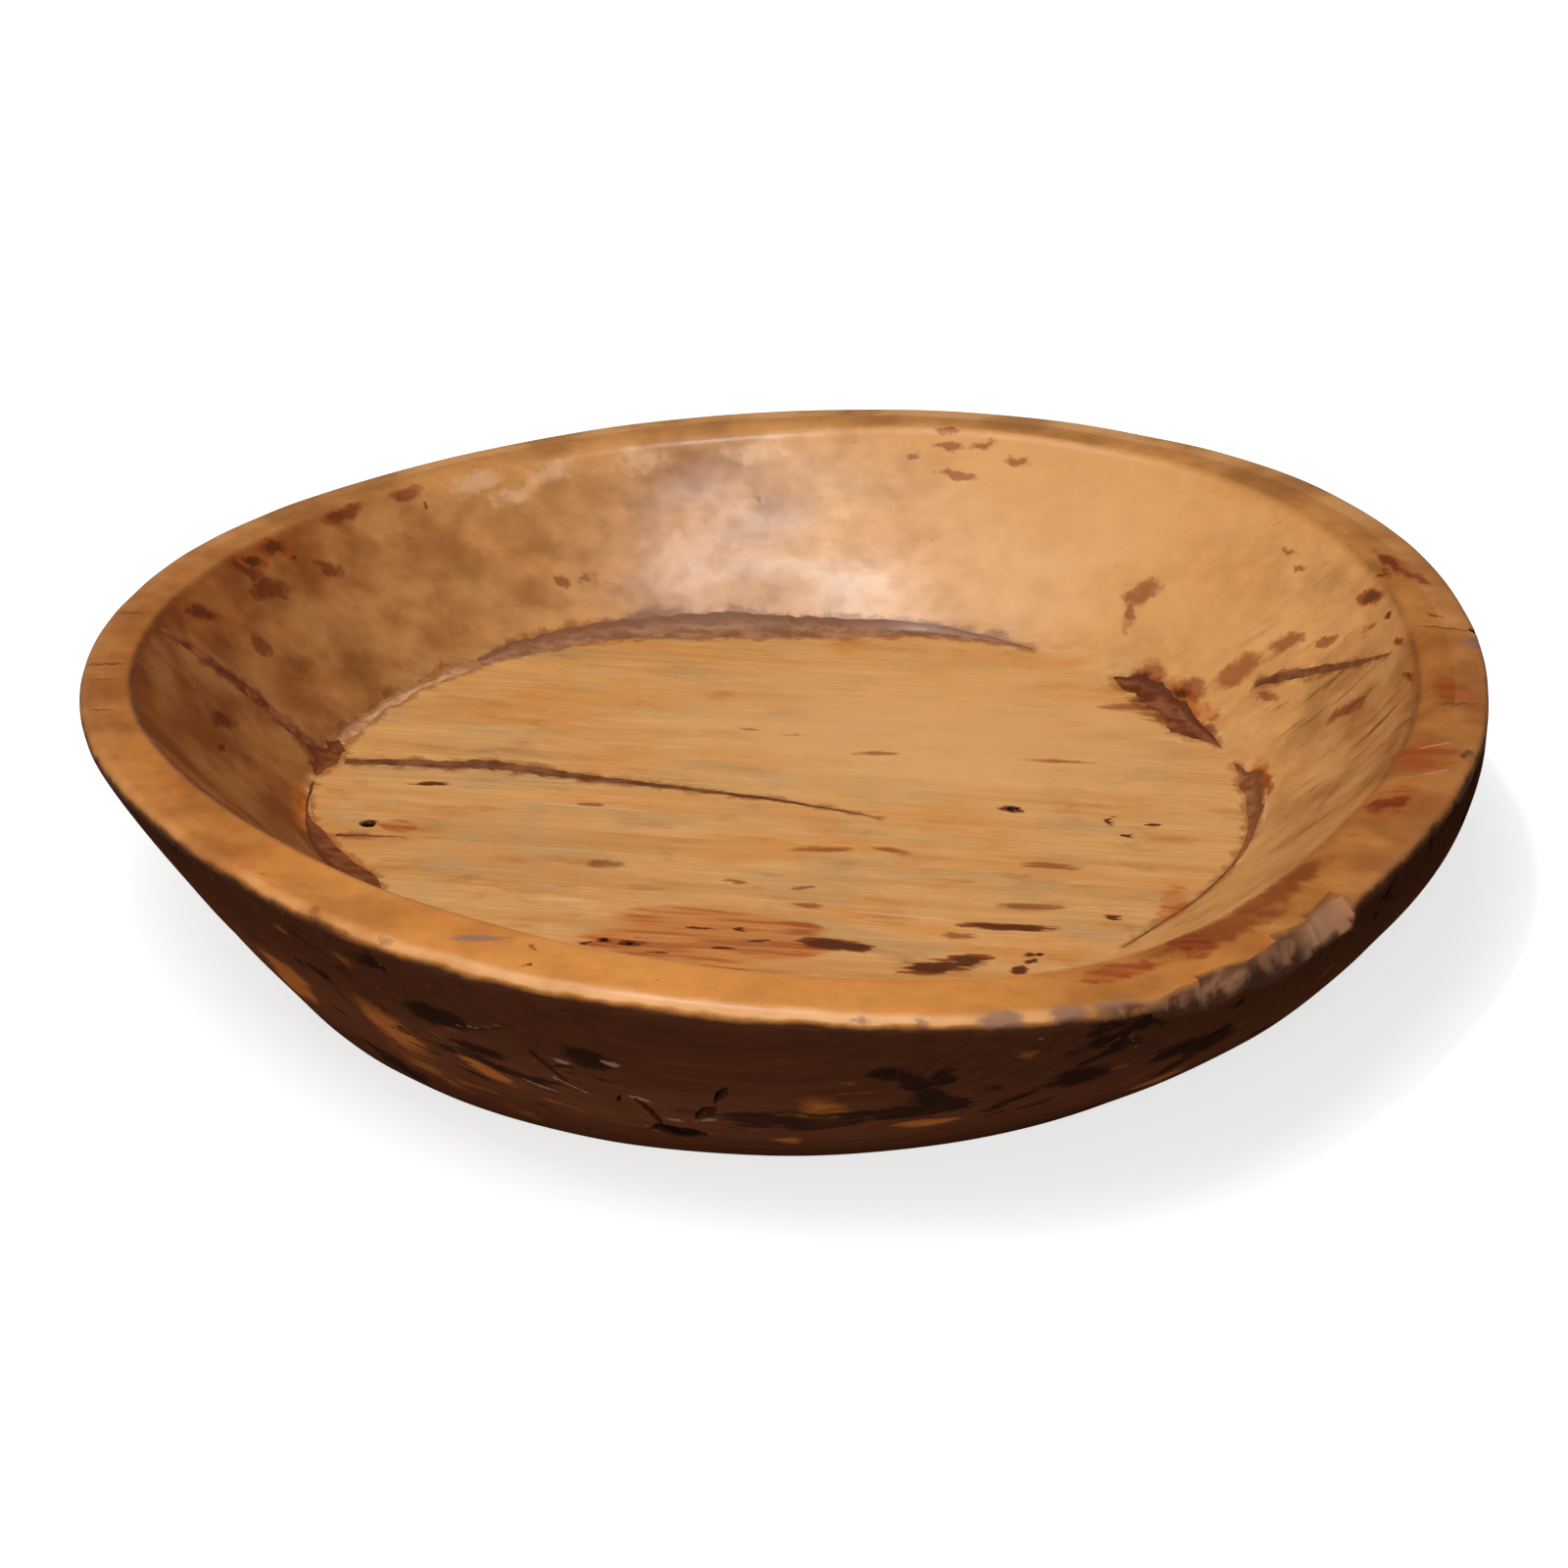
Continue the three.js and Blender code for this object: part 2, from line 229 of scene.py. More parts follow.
def swell(share):
    """Rise from 0 to 1 in the middle of a wall and back to 0."""
    return np.sin(math.pi * np.clip(share, 0, 1)) ** 0.5


def rearward(bearing):
    """1 at the rear of the bowl, 0 at its ends and in front."""
    return np.clip(np.sin(np.radians(bearing)), 0, 1)


def wall_swing(bearing, share):
    """How strongly the tool marks swing the inside wall; at the rear it is worn smooth."""
    worn = WORN_REAR * rearward(bearing) ** 2
    return FLOOR_SWING + (1 - FLOOR_SWING) * (1 - worn) * swell(share)


def outside_swing(share):
    """The same for the outside wall, from under the rim to the base."""
    return RIM_SWING + (OUTSIDE_SWING - RIM_SWING) * swell(share)


def shares(part):
    """Even steps over one part of the skin, without its start, where the part before ends."""
    return np.linspace(0, 1, RING_COUNTS[part] + 1)[1:]


def rounded(start, corner, end, part):
    """Rings of an edge that is worn round between two flat sides."""
    return [(1 - w) ** 2 * start + 2 * w * (1 - w) * corner + w * w * end for w in shares(part)]


def body_rings(bearing):
    """Rings over the whole skin, and how strongly the tool marks swing each."""
    edge = floor_edge(bearing)
    wall_length = np.hypot(wall_run(bearing), rim_top(bearing) - FLOOR_HEIGHT)
    low = FLOOR_ROUND / wall_length
    high = 1 - INNER_ROUND(bearing) / wall_length
    near = INNER_ROUND(bearing) / rim_width(bearing)
    far = 1 - OUTER_ROUND(bearing) / rim_width(bearing)
    under = (rim_top(bearing) - OUTER_ROUND(bearing)) / (rim_top(bearing) - RIM_ROUND)
    under = np.minimum(under, 1)
    foot = BASE_EASE / rim_top(bearing)
    sole = outer_wall(bearing, 0) * (1 - BASE_EASE / WALL_RUN)
    corner = polar(edge, bearing, FLOOR_HEIGHT)
    inner_edge = rim_face(bearing, 0)
    outer_edge = polar(rim_outer(bearing), bearing, rim_top(bearing))

    floor = [polar((edge - FLOOR_ROUND) * w, bearing, FLOOR_HEIGHT) for w in shares("floor")]
    bend = rounded(floor[-1], corner, inner_wall(bearing, low), "corner")
    wall = [inner_wall(bearing, low + (high - low) * w) for w in shares("wall")]
    lip = rounded(wall[-1], inner_edge, rim_face(bearing, near), "lip")
    top = [rim_face(bearing, near + (far - near) * w) for w in shares("rim")]
    brim = rounded(top[-1], outer_edge, outer_wall(bearing, under), "brim")
    outside = [outer_wall(bearing, under + (foot - under) * w) for w in shares("outside")]
    heel = rounded(outside[-1], outer_wall(bearing, 0), sole, "heel")
    base = [sole * w for w in SOLE_SHARES]

    swings = [FLOOR_SWING] * len(floor + bend)
    swings += [wall_swing(bearing, w) for w in shares("wall")]
    swings += [RIM_SWING] * len(lip + top + brim)
    swings += [outside_swing(w) for w in shares("outside")]
    swings += [HEEL_SWING] * len(heel) + [0.0] * len(base)
    return floor + bend + wall + lip + top + brim + outside + heel + base, swings


bearings = spread_bearings()
rings, swings = body_rings(bearings)
print(len(rings), "rings of", SEGMENTS, "points over the skin")

# %% [markdown]
# ## Tool marks
# An adze leaves shallow hollows that follow the grain, and wear softens them. A bump in the
# material would vanish at the outline, so the marks move the points themselves. Two noises, both
# drawn out along the grain, give long swells and smaller hollows. The same marks are asked for
# again later, wherever a fill has to lie on the carved surface.

# %% Carve the tool marks
SWELL = {"depth": 1.1, "along": 120, "across": 55}
HOLLOW = {"depth": 0.55, "along": 42, "across": 20}


def tool_marks(points):
    """Depth of the tool marks at points, mm."""
    flat = points.reshape(-1, 3)
    depth = np.zeros(len(flat))
    for mark in (SWELL, HOLLOW):
        scale = np.array([1 / mark["along"], 1 / mark["across"], 1 / mark["across"]])
        depth += [mark["depth"] * noise.noise(Vector(p)) for p in flat * scale]
    return depth.reshape(points.shape[:-1])


def skin_normals(grid):
    """Outward side of a grid of rings, from the steps to the neighbour points."""
    down = np.gradient(grid, axis=0)
    round_step = np.roll(grid, -1, axis=1) - np.roll(grid, 1, axis=1)
    across = np.cross(round_step, down)
    return -across / np.maximum(np.linalg.norm(across, axis=-1, keepdims=True), 1e-9)


grid = np.stack(rings)
swing = np.stack([np.broadcast_to(share, SEGMENTS) for share in swings])
normals = skin_normals(grid)
grid = grid + normals * (tool_marks(grid) * swing)[..., None]
grid[..., 2] = np.maximum(grid[..., 2], 0)
some_marks = tool_marks(grid[60:90:6, ::20])
print("marks lie between", some_marks.min().round(2), "and", some_marks.max().round(2), "mm")

# %% Close the skin into a block
def mesh_piece(name, points, faces):
    """New object from points in millimetres."""
    mesh = bpy.data.meshes.new(name)
    mesh.from_pydata((np.asarray(points) * MM).tolist(), [], faces)
    mesh.update()
    piece = bpy.data.objects.new(name, mesh)
    bpy.context.scene.collection.objects.link(piece)
    return piece


def turn_outward(piece):
    """Make all faces of a closed piece look out."""
    form = bmesh.new()
    form.from_mesh(piece.data)
    bmesh.ops.recalc_face_normals(form, faces=form.faces)
    if form.calc_volume(signed=True) < 0:
        bmesh.ops.reverse_faces(form, faces=form.faces)
    form.to_mesh(piece.data)
    form.free()


def ring_faces(row_count, column_count):
    """Quads between neighbouring closed rings."""
    faces = []
    for row in range(row_count - 1):
        for column in range(column_count):
            beside = (column + 1) % column_count
            here, below = row * column_count, (row + 1) * column_count
            faces.append((here + column, here + beside, below + beside, below + column))
    return faces


points = np.vstack([grid.reshape(-1, 3), [[0, 0, FLOOR_HEIGHT], [0, BASE_SHIFT, 0]]])
faces = ring_faces(len(grid), SEGMENTS)
floor_middle = len(grid) * SEGMENTS
last_ring = floor_middle - SEGMENTS
for column in range(SEGMENTS):
    beside = (column + 1) % SEGMENTS
    faces.append((floor_middle, beside, column))
    faces.append((floor_middle + 1, last_ring + column, last_ring + beside))
bowl = mesh_piece("hewn_bowl", points, faces)
turn_outward(bowl)
print("the block has", len(bowl.data.polygons), "faces")

# %% [markdown]
# ## Points on the carved skin
# Cracks, holes and fills have to start from the carved surface and not from the even form. Each
# helper here gives points on one side of the bowl together with the direction that looks out of
# the wood there, moved by the same tool marks as the skin.

# %% Points and outward sides
TURN_STEP = 0.4
SHARE_STEP = 0.01


def unit(vectors):
    return vectors / np.maximum(np.linalg.norm(vectors, axis=-1, keepdims=True), 1e-9)


def on_side(surface, bearing, share, swing):
    """Carved points of a surface and the directions out of the wood."""
    bearing, share = np.asarray(bearing, float), np.asarray(share, float)
    point = surface(bearing, share)
    turning = surface(bearing + TURN_STEP, share) - surface(bearing - TURN_STEP, share)
    rising = surface(bearing, share + SHARE_STEP) - surface(bearing, share - SHARE_STEP)
    out = unit(np.cross(rising, turning))
    if surface is outer_wall:
        out = -out
    return point + out * (tool_marks(point) * swing)[..., None], out


def on_floor(xy):
    """Carved points of the floor."""
    flat = np.asarray(xy, float)
    point = np.column_stack([flat, np.full(len(flat), float(FLOOR_HEIGHT))])
    point[:, 2] += tool_marks(point) * FLOOR_SWING
    return point, np.tile(UP, (len(point), 1))


def course(corners, count):
    """Smooth open line through a few corner points."""
    corners = np.array(corners, float)
    padded = np.vstack([2 * corners[0] - corners[1], corners, 2 * corners[-1] - corners[-2]])
    places = np.linspace(0, len(corners) - 1, count)
    left = np.minimum(places.astype(int), len(corners) - 2)
    share = (places - left)[:, None]
    a, b, c, d = (padded[left + step] for step in range(4))
    square = 2 * a - 5 * b + 4 * c - d
    return b + 0.5 * share * (c - a + share * (square + share * (3 * (b - c) + d - a)))


point, out = on_side(inner_wall, 90.0, 0.5, 0)
print("rear wall looks towards", np.round(out, 2), "at", np.round(point))

# %% [markdown]
# ## Splits, holes and chops
# Dry wood opens along the grain at both ends, a beetle has left a hole in the floor, a knot has
# fallen apart on the outside, and the front right of the rim was chopped and splintered. These
# are places where wood is gone. Bump can't make a hole, so each is a small closed cutter taken
# away from the block.

# %% Cutters for splits
SPLIT_ABOVE = 4
SPLIT_BLUNT = 0.04
SPLIT_FULLNESS = 0.6
SPLIT_UNEVEN = 0.5
SPLIT_WAVER = 4
RIM_SPLIT_POINTS = 9
ZIGZAG = 0.12


def tube(name, sections):
    """Closed piece from sections that each hold the same number of points."""
    sections = np.asarray(sections)
    rows, columns = sections.shape[:2]
    faces = ring_faces(rows, columns)
    faces.append(tuple(range(columns)))
    faces.append(tuple(range((rows - 1) * columns, rows * columns)))
    piece = mesh_piece(name, sections.reshape(-1, 3), faces)
    turn_outward(piece)
    return piece


def split_cutter(points, outs, width, depth):
    """Wedge along a line, pointed at both ends and uneven in width."""
    along = unit(np.gradient(points, axis=0))
    side = unit(np.cross(outs, along))
    along_line = np.linspace(0, 1, len(points))
    taper = np.sin(math.pi * (SPLIT_BLUNT + (1 - 2 * SPLIT_BLUNT) * along_line)) ** SPLIT_FULLNESS
    uneven = 1 + SPLIT_UNEVEN * np.array([noise.noise(Vector(p) / SPLIT_WAVER) for p in points])
    half = (width / 2 * taper * uneven)[:, None]
    deep = (depth * taper)[:, None]
    spread = half * (1 + SPLIT_ABOVE / depth)
    top = points + outs * SPLIT_ABOVE
    section = [top - side * spread, points - outs * deep, top + side * spread]
    return tube("split_cutter", np.stack(section, 1))


def rim_split(ends, width, depth):
    """Split across the rim, between two places given as bearing and share of the rim's width."""
    path = course(ends, RIM_SPLIT_POINTS)
    path[1:-1, 0] += [ZIGZAG * (-1) ** step for step in range(RIM_SPLIT_POINTS - 2)]
    return split_cutter(*on_side(rim_face, *path.T, RIM_SWING), width, depth)


def outside_split(corners, width, depth):
    """Split on the outside, through places given as bearing and share of the wall's height."""
    path = course(corners, 4 * len(corners))
    return split_cutter(*on_side(outer_wall, *path.T, OUTSIDE_SWING), width, depth)


RIM_SPLITS = [
    ([(168.4, 0.92), (167.8, 0.28)], 1.3, 4),
    ([(178.9, 1.0), (178.5, 0.08)], 1.6, 6),
    ([(181.9, 0.8), (181.7, 0.2)], 0.9, 3),
    ([(187.7, 0.85), (188.2, 0.3)], 1.2, 4),
    ([(5.9, 1.05), (7.9, 0.02)], 1.4, 5),
    ([(354.8, 0.95), (354.4, 0.15)], 0.7, 2),
]
KNOT_SPLITS = [
    ([(257.2, 0.52), (258.2, 0.45), (259.2, 0.3)], 3.4, 7),
    ([(262.4, 0.42), (263.4, 0.49), (264.4, 0.54)], 5, 8),
    ([(264.2, 0.56), (264.8, 0.62), (265.4, 0.68)], 3.6, 7),
    ([(255.6, 0.46), (256.0, 0.52)], 2.2, 4),
    ([(248.6, 0.7), (249.6, 0.64), (251.6, 0.52)], 3.2, 6),
    ([(250.4, 0.62), (252.4, 0.66)], 1.8, 4),
    ([(243.0, 0.71), (247.6, 0.8)], 0.7, 1.5),
]
splits = [rim_split(*values) for values in RIM_SPLITS]
splits += [outside_split(*values) for values in KNOT_SPLITS]
print(len(splits), "splits")

# %% Cutters for holes
LUMP_WAVES = 2.3
LUMP_SPLITS = 3
LEVEL = 0.9
HOLE_STRETCH = 1.2
HOLE_ROUGH = 0.25
FLOOR_HOLES = [
    (-170, -2, 2.9, 7), (94, 11, 2.2, 2.5), (-70, -92, 1.4, 2), (-60, -95, 1.1, 2),
    (99, -103, 1.3, 1.5),
]
KNOT = {"place": (260.6, 0.27), "radii": (12, 8, 7), "rough": 0.5}
NOTCH = {"place": (6.4, 1.0), "radii": (3, 2.6, 3.4), "rough": 0.4}


def lump(name, middle, radii, outs, rough):
    """Uneven closed blob, its third radius along the outward side."""
    form = bmesh.new()
    bmesh.ops.create_icosphere(form, subdivisions=LUMP_SPLITS, radius=1)
    across = unit(np.cross(UP, outs)) if abs(outs[2]) < LEVEL else np.array([1.0, 0.0, 0.0])
    turn = np.column_stack([across, np.cross(outs, across), outs])
    points = np.array([vert.co for vert in form.verts])
    wavy = [noise.noise(vert.co * LUMP_WAVES + Vector(middle)) for vert in form.verts]
    points *= 1 + rough * np.array(wavy)[:, None]
    faces = [tuple(vert.index for vert in face.verts) for face in form.faces]
    form.free()
    piece = mesh_piece(name, np.array(middle) + (points * radii) @ turn.T, faces)
    turn_outward(piece)
    return piece


holes = []
for x, y, radius, depth in FLOOR_HOLES:
    (middle,), (outs,) = on_floor([(x, y)])
    radii = (radius * HOLE_STRETCH, radius, depth)
    holes.append(lump("hole_cutter", middle, radii, outs, HOLE_ROUGH))
for name, hole, surface, swing in (
    ("knot_cutter", KNOT, outer_wall, OUTSIDE_SWING),
    ("notch_cutter", NOTCH, rim_face, RIM_SWING),
):
    middle, outs = on_side(surface, *hole["place"], swing)
    holes.append(lump(name, middle, hole["radii"], outs, hole["rough"]))
print(len(holes), "holes")

# %% Cutters for the chopped rim
CHOP_REACH = 60
CHOP_SEED = 5
CHOP_CUTS = 15
CHOP_ROUGHNESS = {11: 1.1, 3.5: 0.3}  # wave length and depth, mm
CHOPS = [
    {"bearing": -40.8, "length": 22, "drop": 12, "slope": 40, "turn": 7},
    {"bearing": -45.0, "length": 24, "drop": 10.5, "slope": 30, "turn": -6},
    {"bearing": -49.2, "length": 24, "drop": 8.5, "slope": 20, "turn": 6},
    {"bearing": -53.6, "length": 26, "drop": 8.5, "slope": 32, "turn": -5},
    {"bearing": -58.4, "length": 28, "drop": 7, "slope": 18, "turn": 5},
    {"bearing": -63.6, "length": 28, "drop": 5, "slope": 34, "turn": -4},
]


def chop_cutter(bearing, length, drop, slope, turn):
    """Block whose slanting, splintered face takes off the rim's outer edge."""
    form = bmesh.new()
    bmesh.ops.create_cube(form, size=1)
    bmesh.ops.subdivide_edges(form, edges=form.edges[:], cuts=CHOP_CUTS, use_grid_fill=True)
    edge = rim_outer(bearing) - drop / 2
    place = (
        Matrix.Rotation(math.radians(bearing), 4, "Z")
        @ Matrix.Translation((edge, 0, rim_top(bearing) - drop / 2))
        @ Matrix.Rotation(math.radians(turn), 4, "Z")
        @ Matrix.Rotation(-math.radians(slope), 4, "Y")
        @ Matrix.Translation((CHOP_REACH / 2, 0, 0))
        @ Matrix.Diagonal((CHOP_REACH, length, CHOP_REACH, 1))
    )
    bmesh.ops.transform(form, matrix=place, verts=form.verts[:])
    points = np.array([vert.co for vert in form.verts])
    for length, depth in CHOP_ROUGHNESS.items():
        points += [depth * noise.noise_vector(Vector(p) / length) for p in points]
    faces = [tuple(vert.index for vert in face.verts) for face in form.faces]
    form.free()
    piece = mesh_piece("chop_cutter", points, faces)
    turn_outward(piece)
    return piece


noise.seed_set(CHOP_SEED)
chops = [chop_cutter(**values) for values in CHOPS]
print(len(chops), "chops")

# %% [markdown]
# ## Fills in the corner
# Where wall and floor meet, the bowl was sealed with wax and filler, smeared in by hand: a broad
# shiny band at the rear, a thin pale bead, dark lumps elsewhere. A straight sweep would look
# machined, so each fill is a row of sections whose edges wander and whose face is lumpy. The
# edges lie flush with the wood and the root sits below it. With every fill comes a cutter for its
# seat, which stands out of the wood, so that no skin of wood is left over the fill.

# %% Shape a corner fill
COVE = 0.55
SEAM_DEPTH = 2
SEAM_STEP = 0.3
SEAT_ABOVE = 4
LEAST_LEG = 0.25
LEAST_SECTIONS = 8
FULL_LEGS = 8
FACE_POINTS = 13
FINE_WAVER = {"times": 2.7, "depth": 0.5}
LUMP_SIZE = 6.5
FINE_LUMP = {"size": 2.3, "share": 0.35}
STANDS_PROUD = 0.4
CORNER_DEEPER = 1.3
SEED_STEP = 11.7


def wander(bearing, seed, length):
    """Uneven run along the corner, about -1 to 1; length is the size of one waver in mm."""
    arc = np.radians(bearing) * floor_edge(bearing) / length
    coarse = np.array([noise.noise(Vector((a, seed, 0.3))) for a in arc])
    fine = np.array([noise.noise(Vector((FINE_WAVER["times"] * a, seed, 7.1))) for a in arc])
    return coarse + FINE_WAVER["depth"] * fine


def wavy(points, length, shift=(0, 0, 0)):
    """Noise at points in mm; length is the size of one wave."""
    return np.array([noise.noise(Vector(p) / length + Vector(shift)) for p in points])


def along_run(values, count):
    """Values spread evenly over a run, with straight lines between them."""
    return np.interp(np.linspace(0, 1, count), np.linspace(0, 1, len(values)), values)


def keep_across(piece, rows, columns):
    """Remember how far each point lies across the fill, from the floor's side to the wall's."""
    face, root = np.linspace(0, 1, FACE_POINTS), np.linspace(1, 0, columns - FACE_POINTS)
    layer = piece.data.attributes.new("across", "FLOAT", "POINT")
    layer.data.foreach_set("value", np.tile([*face, *root], rows).astype(np.float32))


def corner_fill(name, ends, over, rise, ragged, waver, lumps, seed):
    """Fill between two bearings, and its seat; over and rise are its reach on floor and wall."""
    count = max(int((ends[1] - ends[0]) / SEAM_STEP), LEAST_SECTIONS)
    bearing = np.linspace(*ends, count)
    low_edge, high_edge = (1 + ragged * wander(bearing, seed + step, waver) for step in (0, 3))
    over = along_run(over, count) * np.maximum(low_edge, LEAST_LEG)
    rise = along_run(rise, count) * np.maximum(high_edge, LEAST_LEG)
    wall_length = np.hypot(wall_run(bearing), rim_top(bearing) - FLOOR_HEIGHT)

    corner = polar(floor_edge(bearing), bearing, FLOOR_HEIGHT)
    on_low, _ = on_floor(polar(floor_edge(bearing) - over, bearing, 0)[:, :2])
    climb = rise / wall_length
    on_high, wall_out = on_side(inner_wall, bearing, climb, wall_swing(bearing, climb))

    face_rows, seat_rows = [], []
    for v in np.linspace(0, 1, FACE_POINTS):
        chord = on_low * (1 - v) + on_high * v
        belly = 4 * v * (1 - v)
        face = chord + (corner - chord) * COVE * belly
        out = unit(UP * (1 - v) + wall_out * v)
        lumpy = STANDS_PROUD + wavy(face, LUMP_SIZE, (seed, 0, 0))
        lumpy += FINE_LUMP["share"] * wavy(face, FINE_LUMP["size"])
        proud = lumps * belly * lumpy * np.minimum((over + rise) / FULL_LEGS, 1)
        face_rows.append(face + out * proud[:, None])
        seat_rows.append(chord + out * SEAT_ABOVE)
    root = [
        on_high - wall_out * SEAM_DEPTH,
        corner - unit(UP + wall_out) * SEAM_DEPTH * CORNER_DEEPER,
        on_low - UP * SEAM_DEPTH,
    ]
    fill = tube(name, np.stack(face_rows + root, 1))
    keep_across(fill, count, FACE_POINTS + len(root))
    return fill, tube("seat_cutter", np.stack(seat_rows + root, 1))


CORNER_FILLS = {
    "left_corner_fill": {
        "ends": (160.2, 169), "ragged": 0.7, "waver": 6, "lumps": 0.9,
        "over": [0.8, 4, 5, 5, 3, 1], "rise": [2, 4, 6, 8, 5, 1],
    },
    "rear_left_seam_fill": {
        "ends": (134, 160.6), "ragged": 0.8, "waver": 8, "lumps": 0.4,
        "over": [1.4, 2, 1.2, 2, 1.4, 2, 1.6], "rise": [2, 2.8, 1.8, 2.8, 2, 2.8, 2.2],
    },
    "rear_seam_fill": {
        "ends": (54, 134), "ragged": 0.2, "waver": 12, "lumps": 0.05,
        "over": [0.5, 2, 3.5, 4.5, 5, 5, 4, 4, 2], "rise": [0.6, 3, 5.5, 7.5, 8, 8, 6.5, 6, 3],
    },
    "right_rear_corner_fill": {
        "ends": (18.5, 41), "ragged": 0.6, "waver": 9, "lumps": 0.35,
        "over": [0.4, 4, 9, 10, 9, 7, 5, 4, 0.5], "rise": [0.3, 1, 1.5, 2.5, 5, 6, 6, 4.5, 0.5],
    },
    "right_seam_fill": {
        "ends": (-37, 14), "ragged": 0.6, "waver": 10, "lumps": 0.3,
        "over": [0.2, 0.6, 0.8, 0.8, 0.6, 0.7, 0.8, 1.5, 2, 0.3],
        "rise": [0.5, 1.4, 1.8, 1.8, 1.4, 1.6, 2.4, 6, 8, 0.6],
    },
    "front_left_seam_fill": {
        "ends": (170.5, 208), "ragged": 0.95, "waver": 7, "lumps": 0.8,
        "over": [0.8, 1.2, 1.6, 7, 9.5, 9, 7, 5, 1], "rise": [0.8, 1, 1.2, 3.5, 5, 4.5, 3.5, 3, 0.5],
    },
}
fills, seats = {}, []
for seed, (name, shape) in enumerate(CORNER_FILLS.items()):
    fills[name], seat = corner_fill(name + "_lumpy", seed=seed * SEED_STEP, **shape)
    seats.append(seat)
print("corner fills:", ", ".join(fills))

# %% [markdown]
# ## Fills in the cracks
# Drying split the floor and both end walls along the grain, and the splits were pressed full of
# dark filler. Each is a strip that follows the split, with uneven edges and a slightly sunken
# face, set as deep in the wood as the solid it stands for.

# %% Shape a crack fill
CRACK_DEPTH = 5
CRACK_TAPER = 0.5
CRACK_SPACING = 1.2
CRACK_POINTS = 7
EDGE_UNEVEN = 0.5
EDGE_WAVERS = {"left": (5, (0, 0, 0)), "right": (4, (0, 0, 9))}
FACE_WAVE = {"depth": 0.3, "length": 2.5}
DRIFT = {"depth": 0.5, "length": 7}
SUNK = {"floor": 0.2, "wall": 0.3}


def crack_fill(name, points, outs, widths, sunk):
    """Strip of filler along a line on the carved skin, and the cutter for its seat."""
    along = unit(np.gradient(points, axis=0))
    side = unit(np.cross(outs, along))
    width = along_run(widths, len(points))
    left, right = (
        (1 + EDGE_UNEVEN * wavy(points, *EDGE_WAVERS[edge])) * width / 2 for edge in ("left", "right")
    )
    face_rows, seat_rows = [], []
    for v in np.linspace(-1, 1, CRACK_POINTS):
        half = ((left if v < 0 else right) * v)[:, None]
        wave = FACE_WAVE["depth"] * wavy(points, FACE_WAVE["length"], (0, 0, v))
        level = (wave - sunk) * (1 - v * v)
        face_rows.append(points + side * half + outs * level[:, None])
        seat_rows.append(points + side * half + outs * SEAT_ABOVE)
    deep, foot = points - outs * CRACK_DEPTH, side * (CRACK_TAPER * width / 2)[:, None]
    root = [deep + foot, deep - foot]
    fill = tube(name, np.stack(face_rows + root, 1))
    return fill, tube("seat_cutter", np.stack(seat_rows + root, 1))


def line_count(corners):
    """Number of points that keeps an even spacing along a line."""
    return int(np.linalg.norm(np.diff(corners, axis=0), axis=1).sum() / CRACK_SPACING)


def floor_crack(name, start, offsets, widths):
    """Crack in the floor, from a start given as bearing and distance from the floor's edge."""
    bearing, inset = start
    origin = polar(floor_edge(bearing) - inset, bearing, 0)[:2]
    corners = np.vstack([[0, 0], offsets]) + origin
    line = course(corners, line_count(corners))
    drift = [noise.noise(Vector((x / DRIFT["length"], 3.3, 0))) for x in line[:, 0]]
    line[:, 1] += DRIFT["depth"] * np.array(drift)
    return crack_fill(name + "_pressed", *on_floor(line), widths, SUNK["floor"])


def wall_crack(name, corners, widths):
    """Crack up a wall, through places given as bearing and share of the wall's height."""
    flat = inner_wall(*np.array(corners).T)
    path = course(corners, line_count(flat))
    points, outs = on_side(inner_wall, *path.T, wall_swing(*path.T))
    return crack_fill(name + "_pressed", points, outs, widths, SUNK["wall"])


FLOOR_CRACKS = {
    "floor_crack_fill": {
        "start": (164.6, 8),
        "offsets": [(22, -1), (46, -3), (62, -3), (94, -12), (128, -20), (185, -34), (224, -48)],
        "widths": [6, 7, 8, 9.5, 8.5, 5.5, 4, 2.6, 0.8],
    },
    "short_floor_crack_fill": {
        "start": (183.5, 10), "offsets": [(14, -0.5), (28, -1.5)], "widths": [2.6, 1.8, 0.8],
    },
}
WALL_CRACKS = {
    "end_wall_crack_fill": {
        "corners": [(164.6, 0.09), (164.9, 0.33), (165.7, 0.5), (166.9, 0.68), (169.2, 0.95)],
        "widths": [8, 7.5, 7, 6.5, 4.5],
    },
    "right_wall_crack_fill": {
        "corners": [(22, 0.27), (17.7, 0.43), (12.4, 0.62), (7, 0.85)],
        "widths": [3.4, 6.5, 5.5, 5, 3.6, 1],
    },
}
cracks = {name: floor_crack(name, **shape) for name, shape in FLOOR_CRACKS.items()}
cracks.update({name: wall_crack(name, **shape) for name, shape in WALL_CRACKS.items()})
for name, (fill, seat) in cracks.items():
    fills[name] = fill
    seats.append(seat)
print(len(fills), "fills in all")

# %% [markdown]
# ## Cut the block
# All cutters are taken away from the block, so every fill sits in a seat of its own shape. A live
# modifier would be worked out again for every render, so the result is kept as the mesh and the
# cutters are thrown away. The uncut skin is remembered as a search tree: later it tells how deep
# a point of a cut lies below it.

# %% Take the cutters away
def take_away(piece, cutters):
    for cutter in cutters:
        cut = piece.modifiers.new("cut", "BOOLEAN")
        cut.operation = "DIFFERENCE"
        cut.solver = "MANIFOLD"
        cut.object = cutter
    ready = piece.evaluated_get(bpy.context.evaluated_depsgraph_get())
    cut_mesh = bpy.data.meshes.new_from_object(ready)
    piece.modifiers.clear()
    old = piece.data
    piece.data = cut_mesh
    bpy.data.meshes.remove(old)


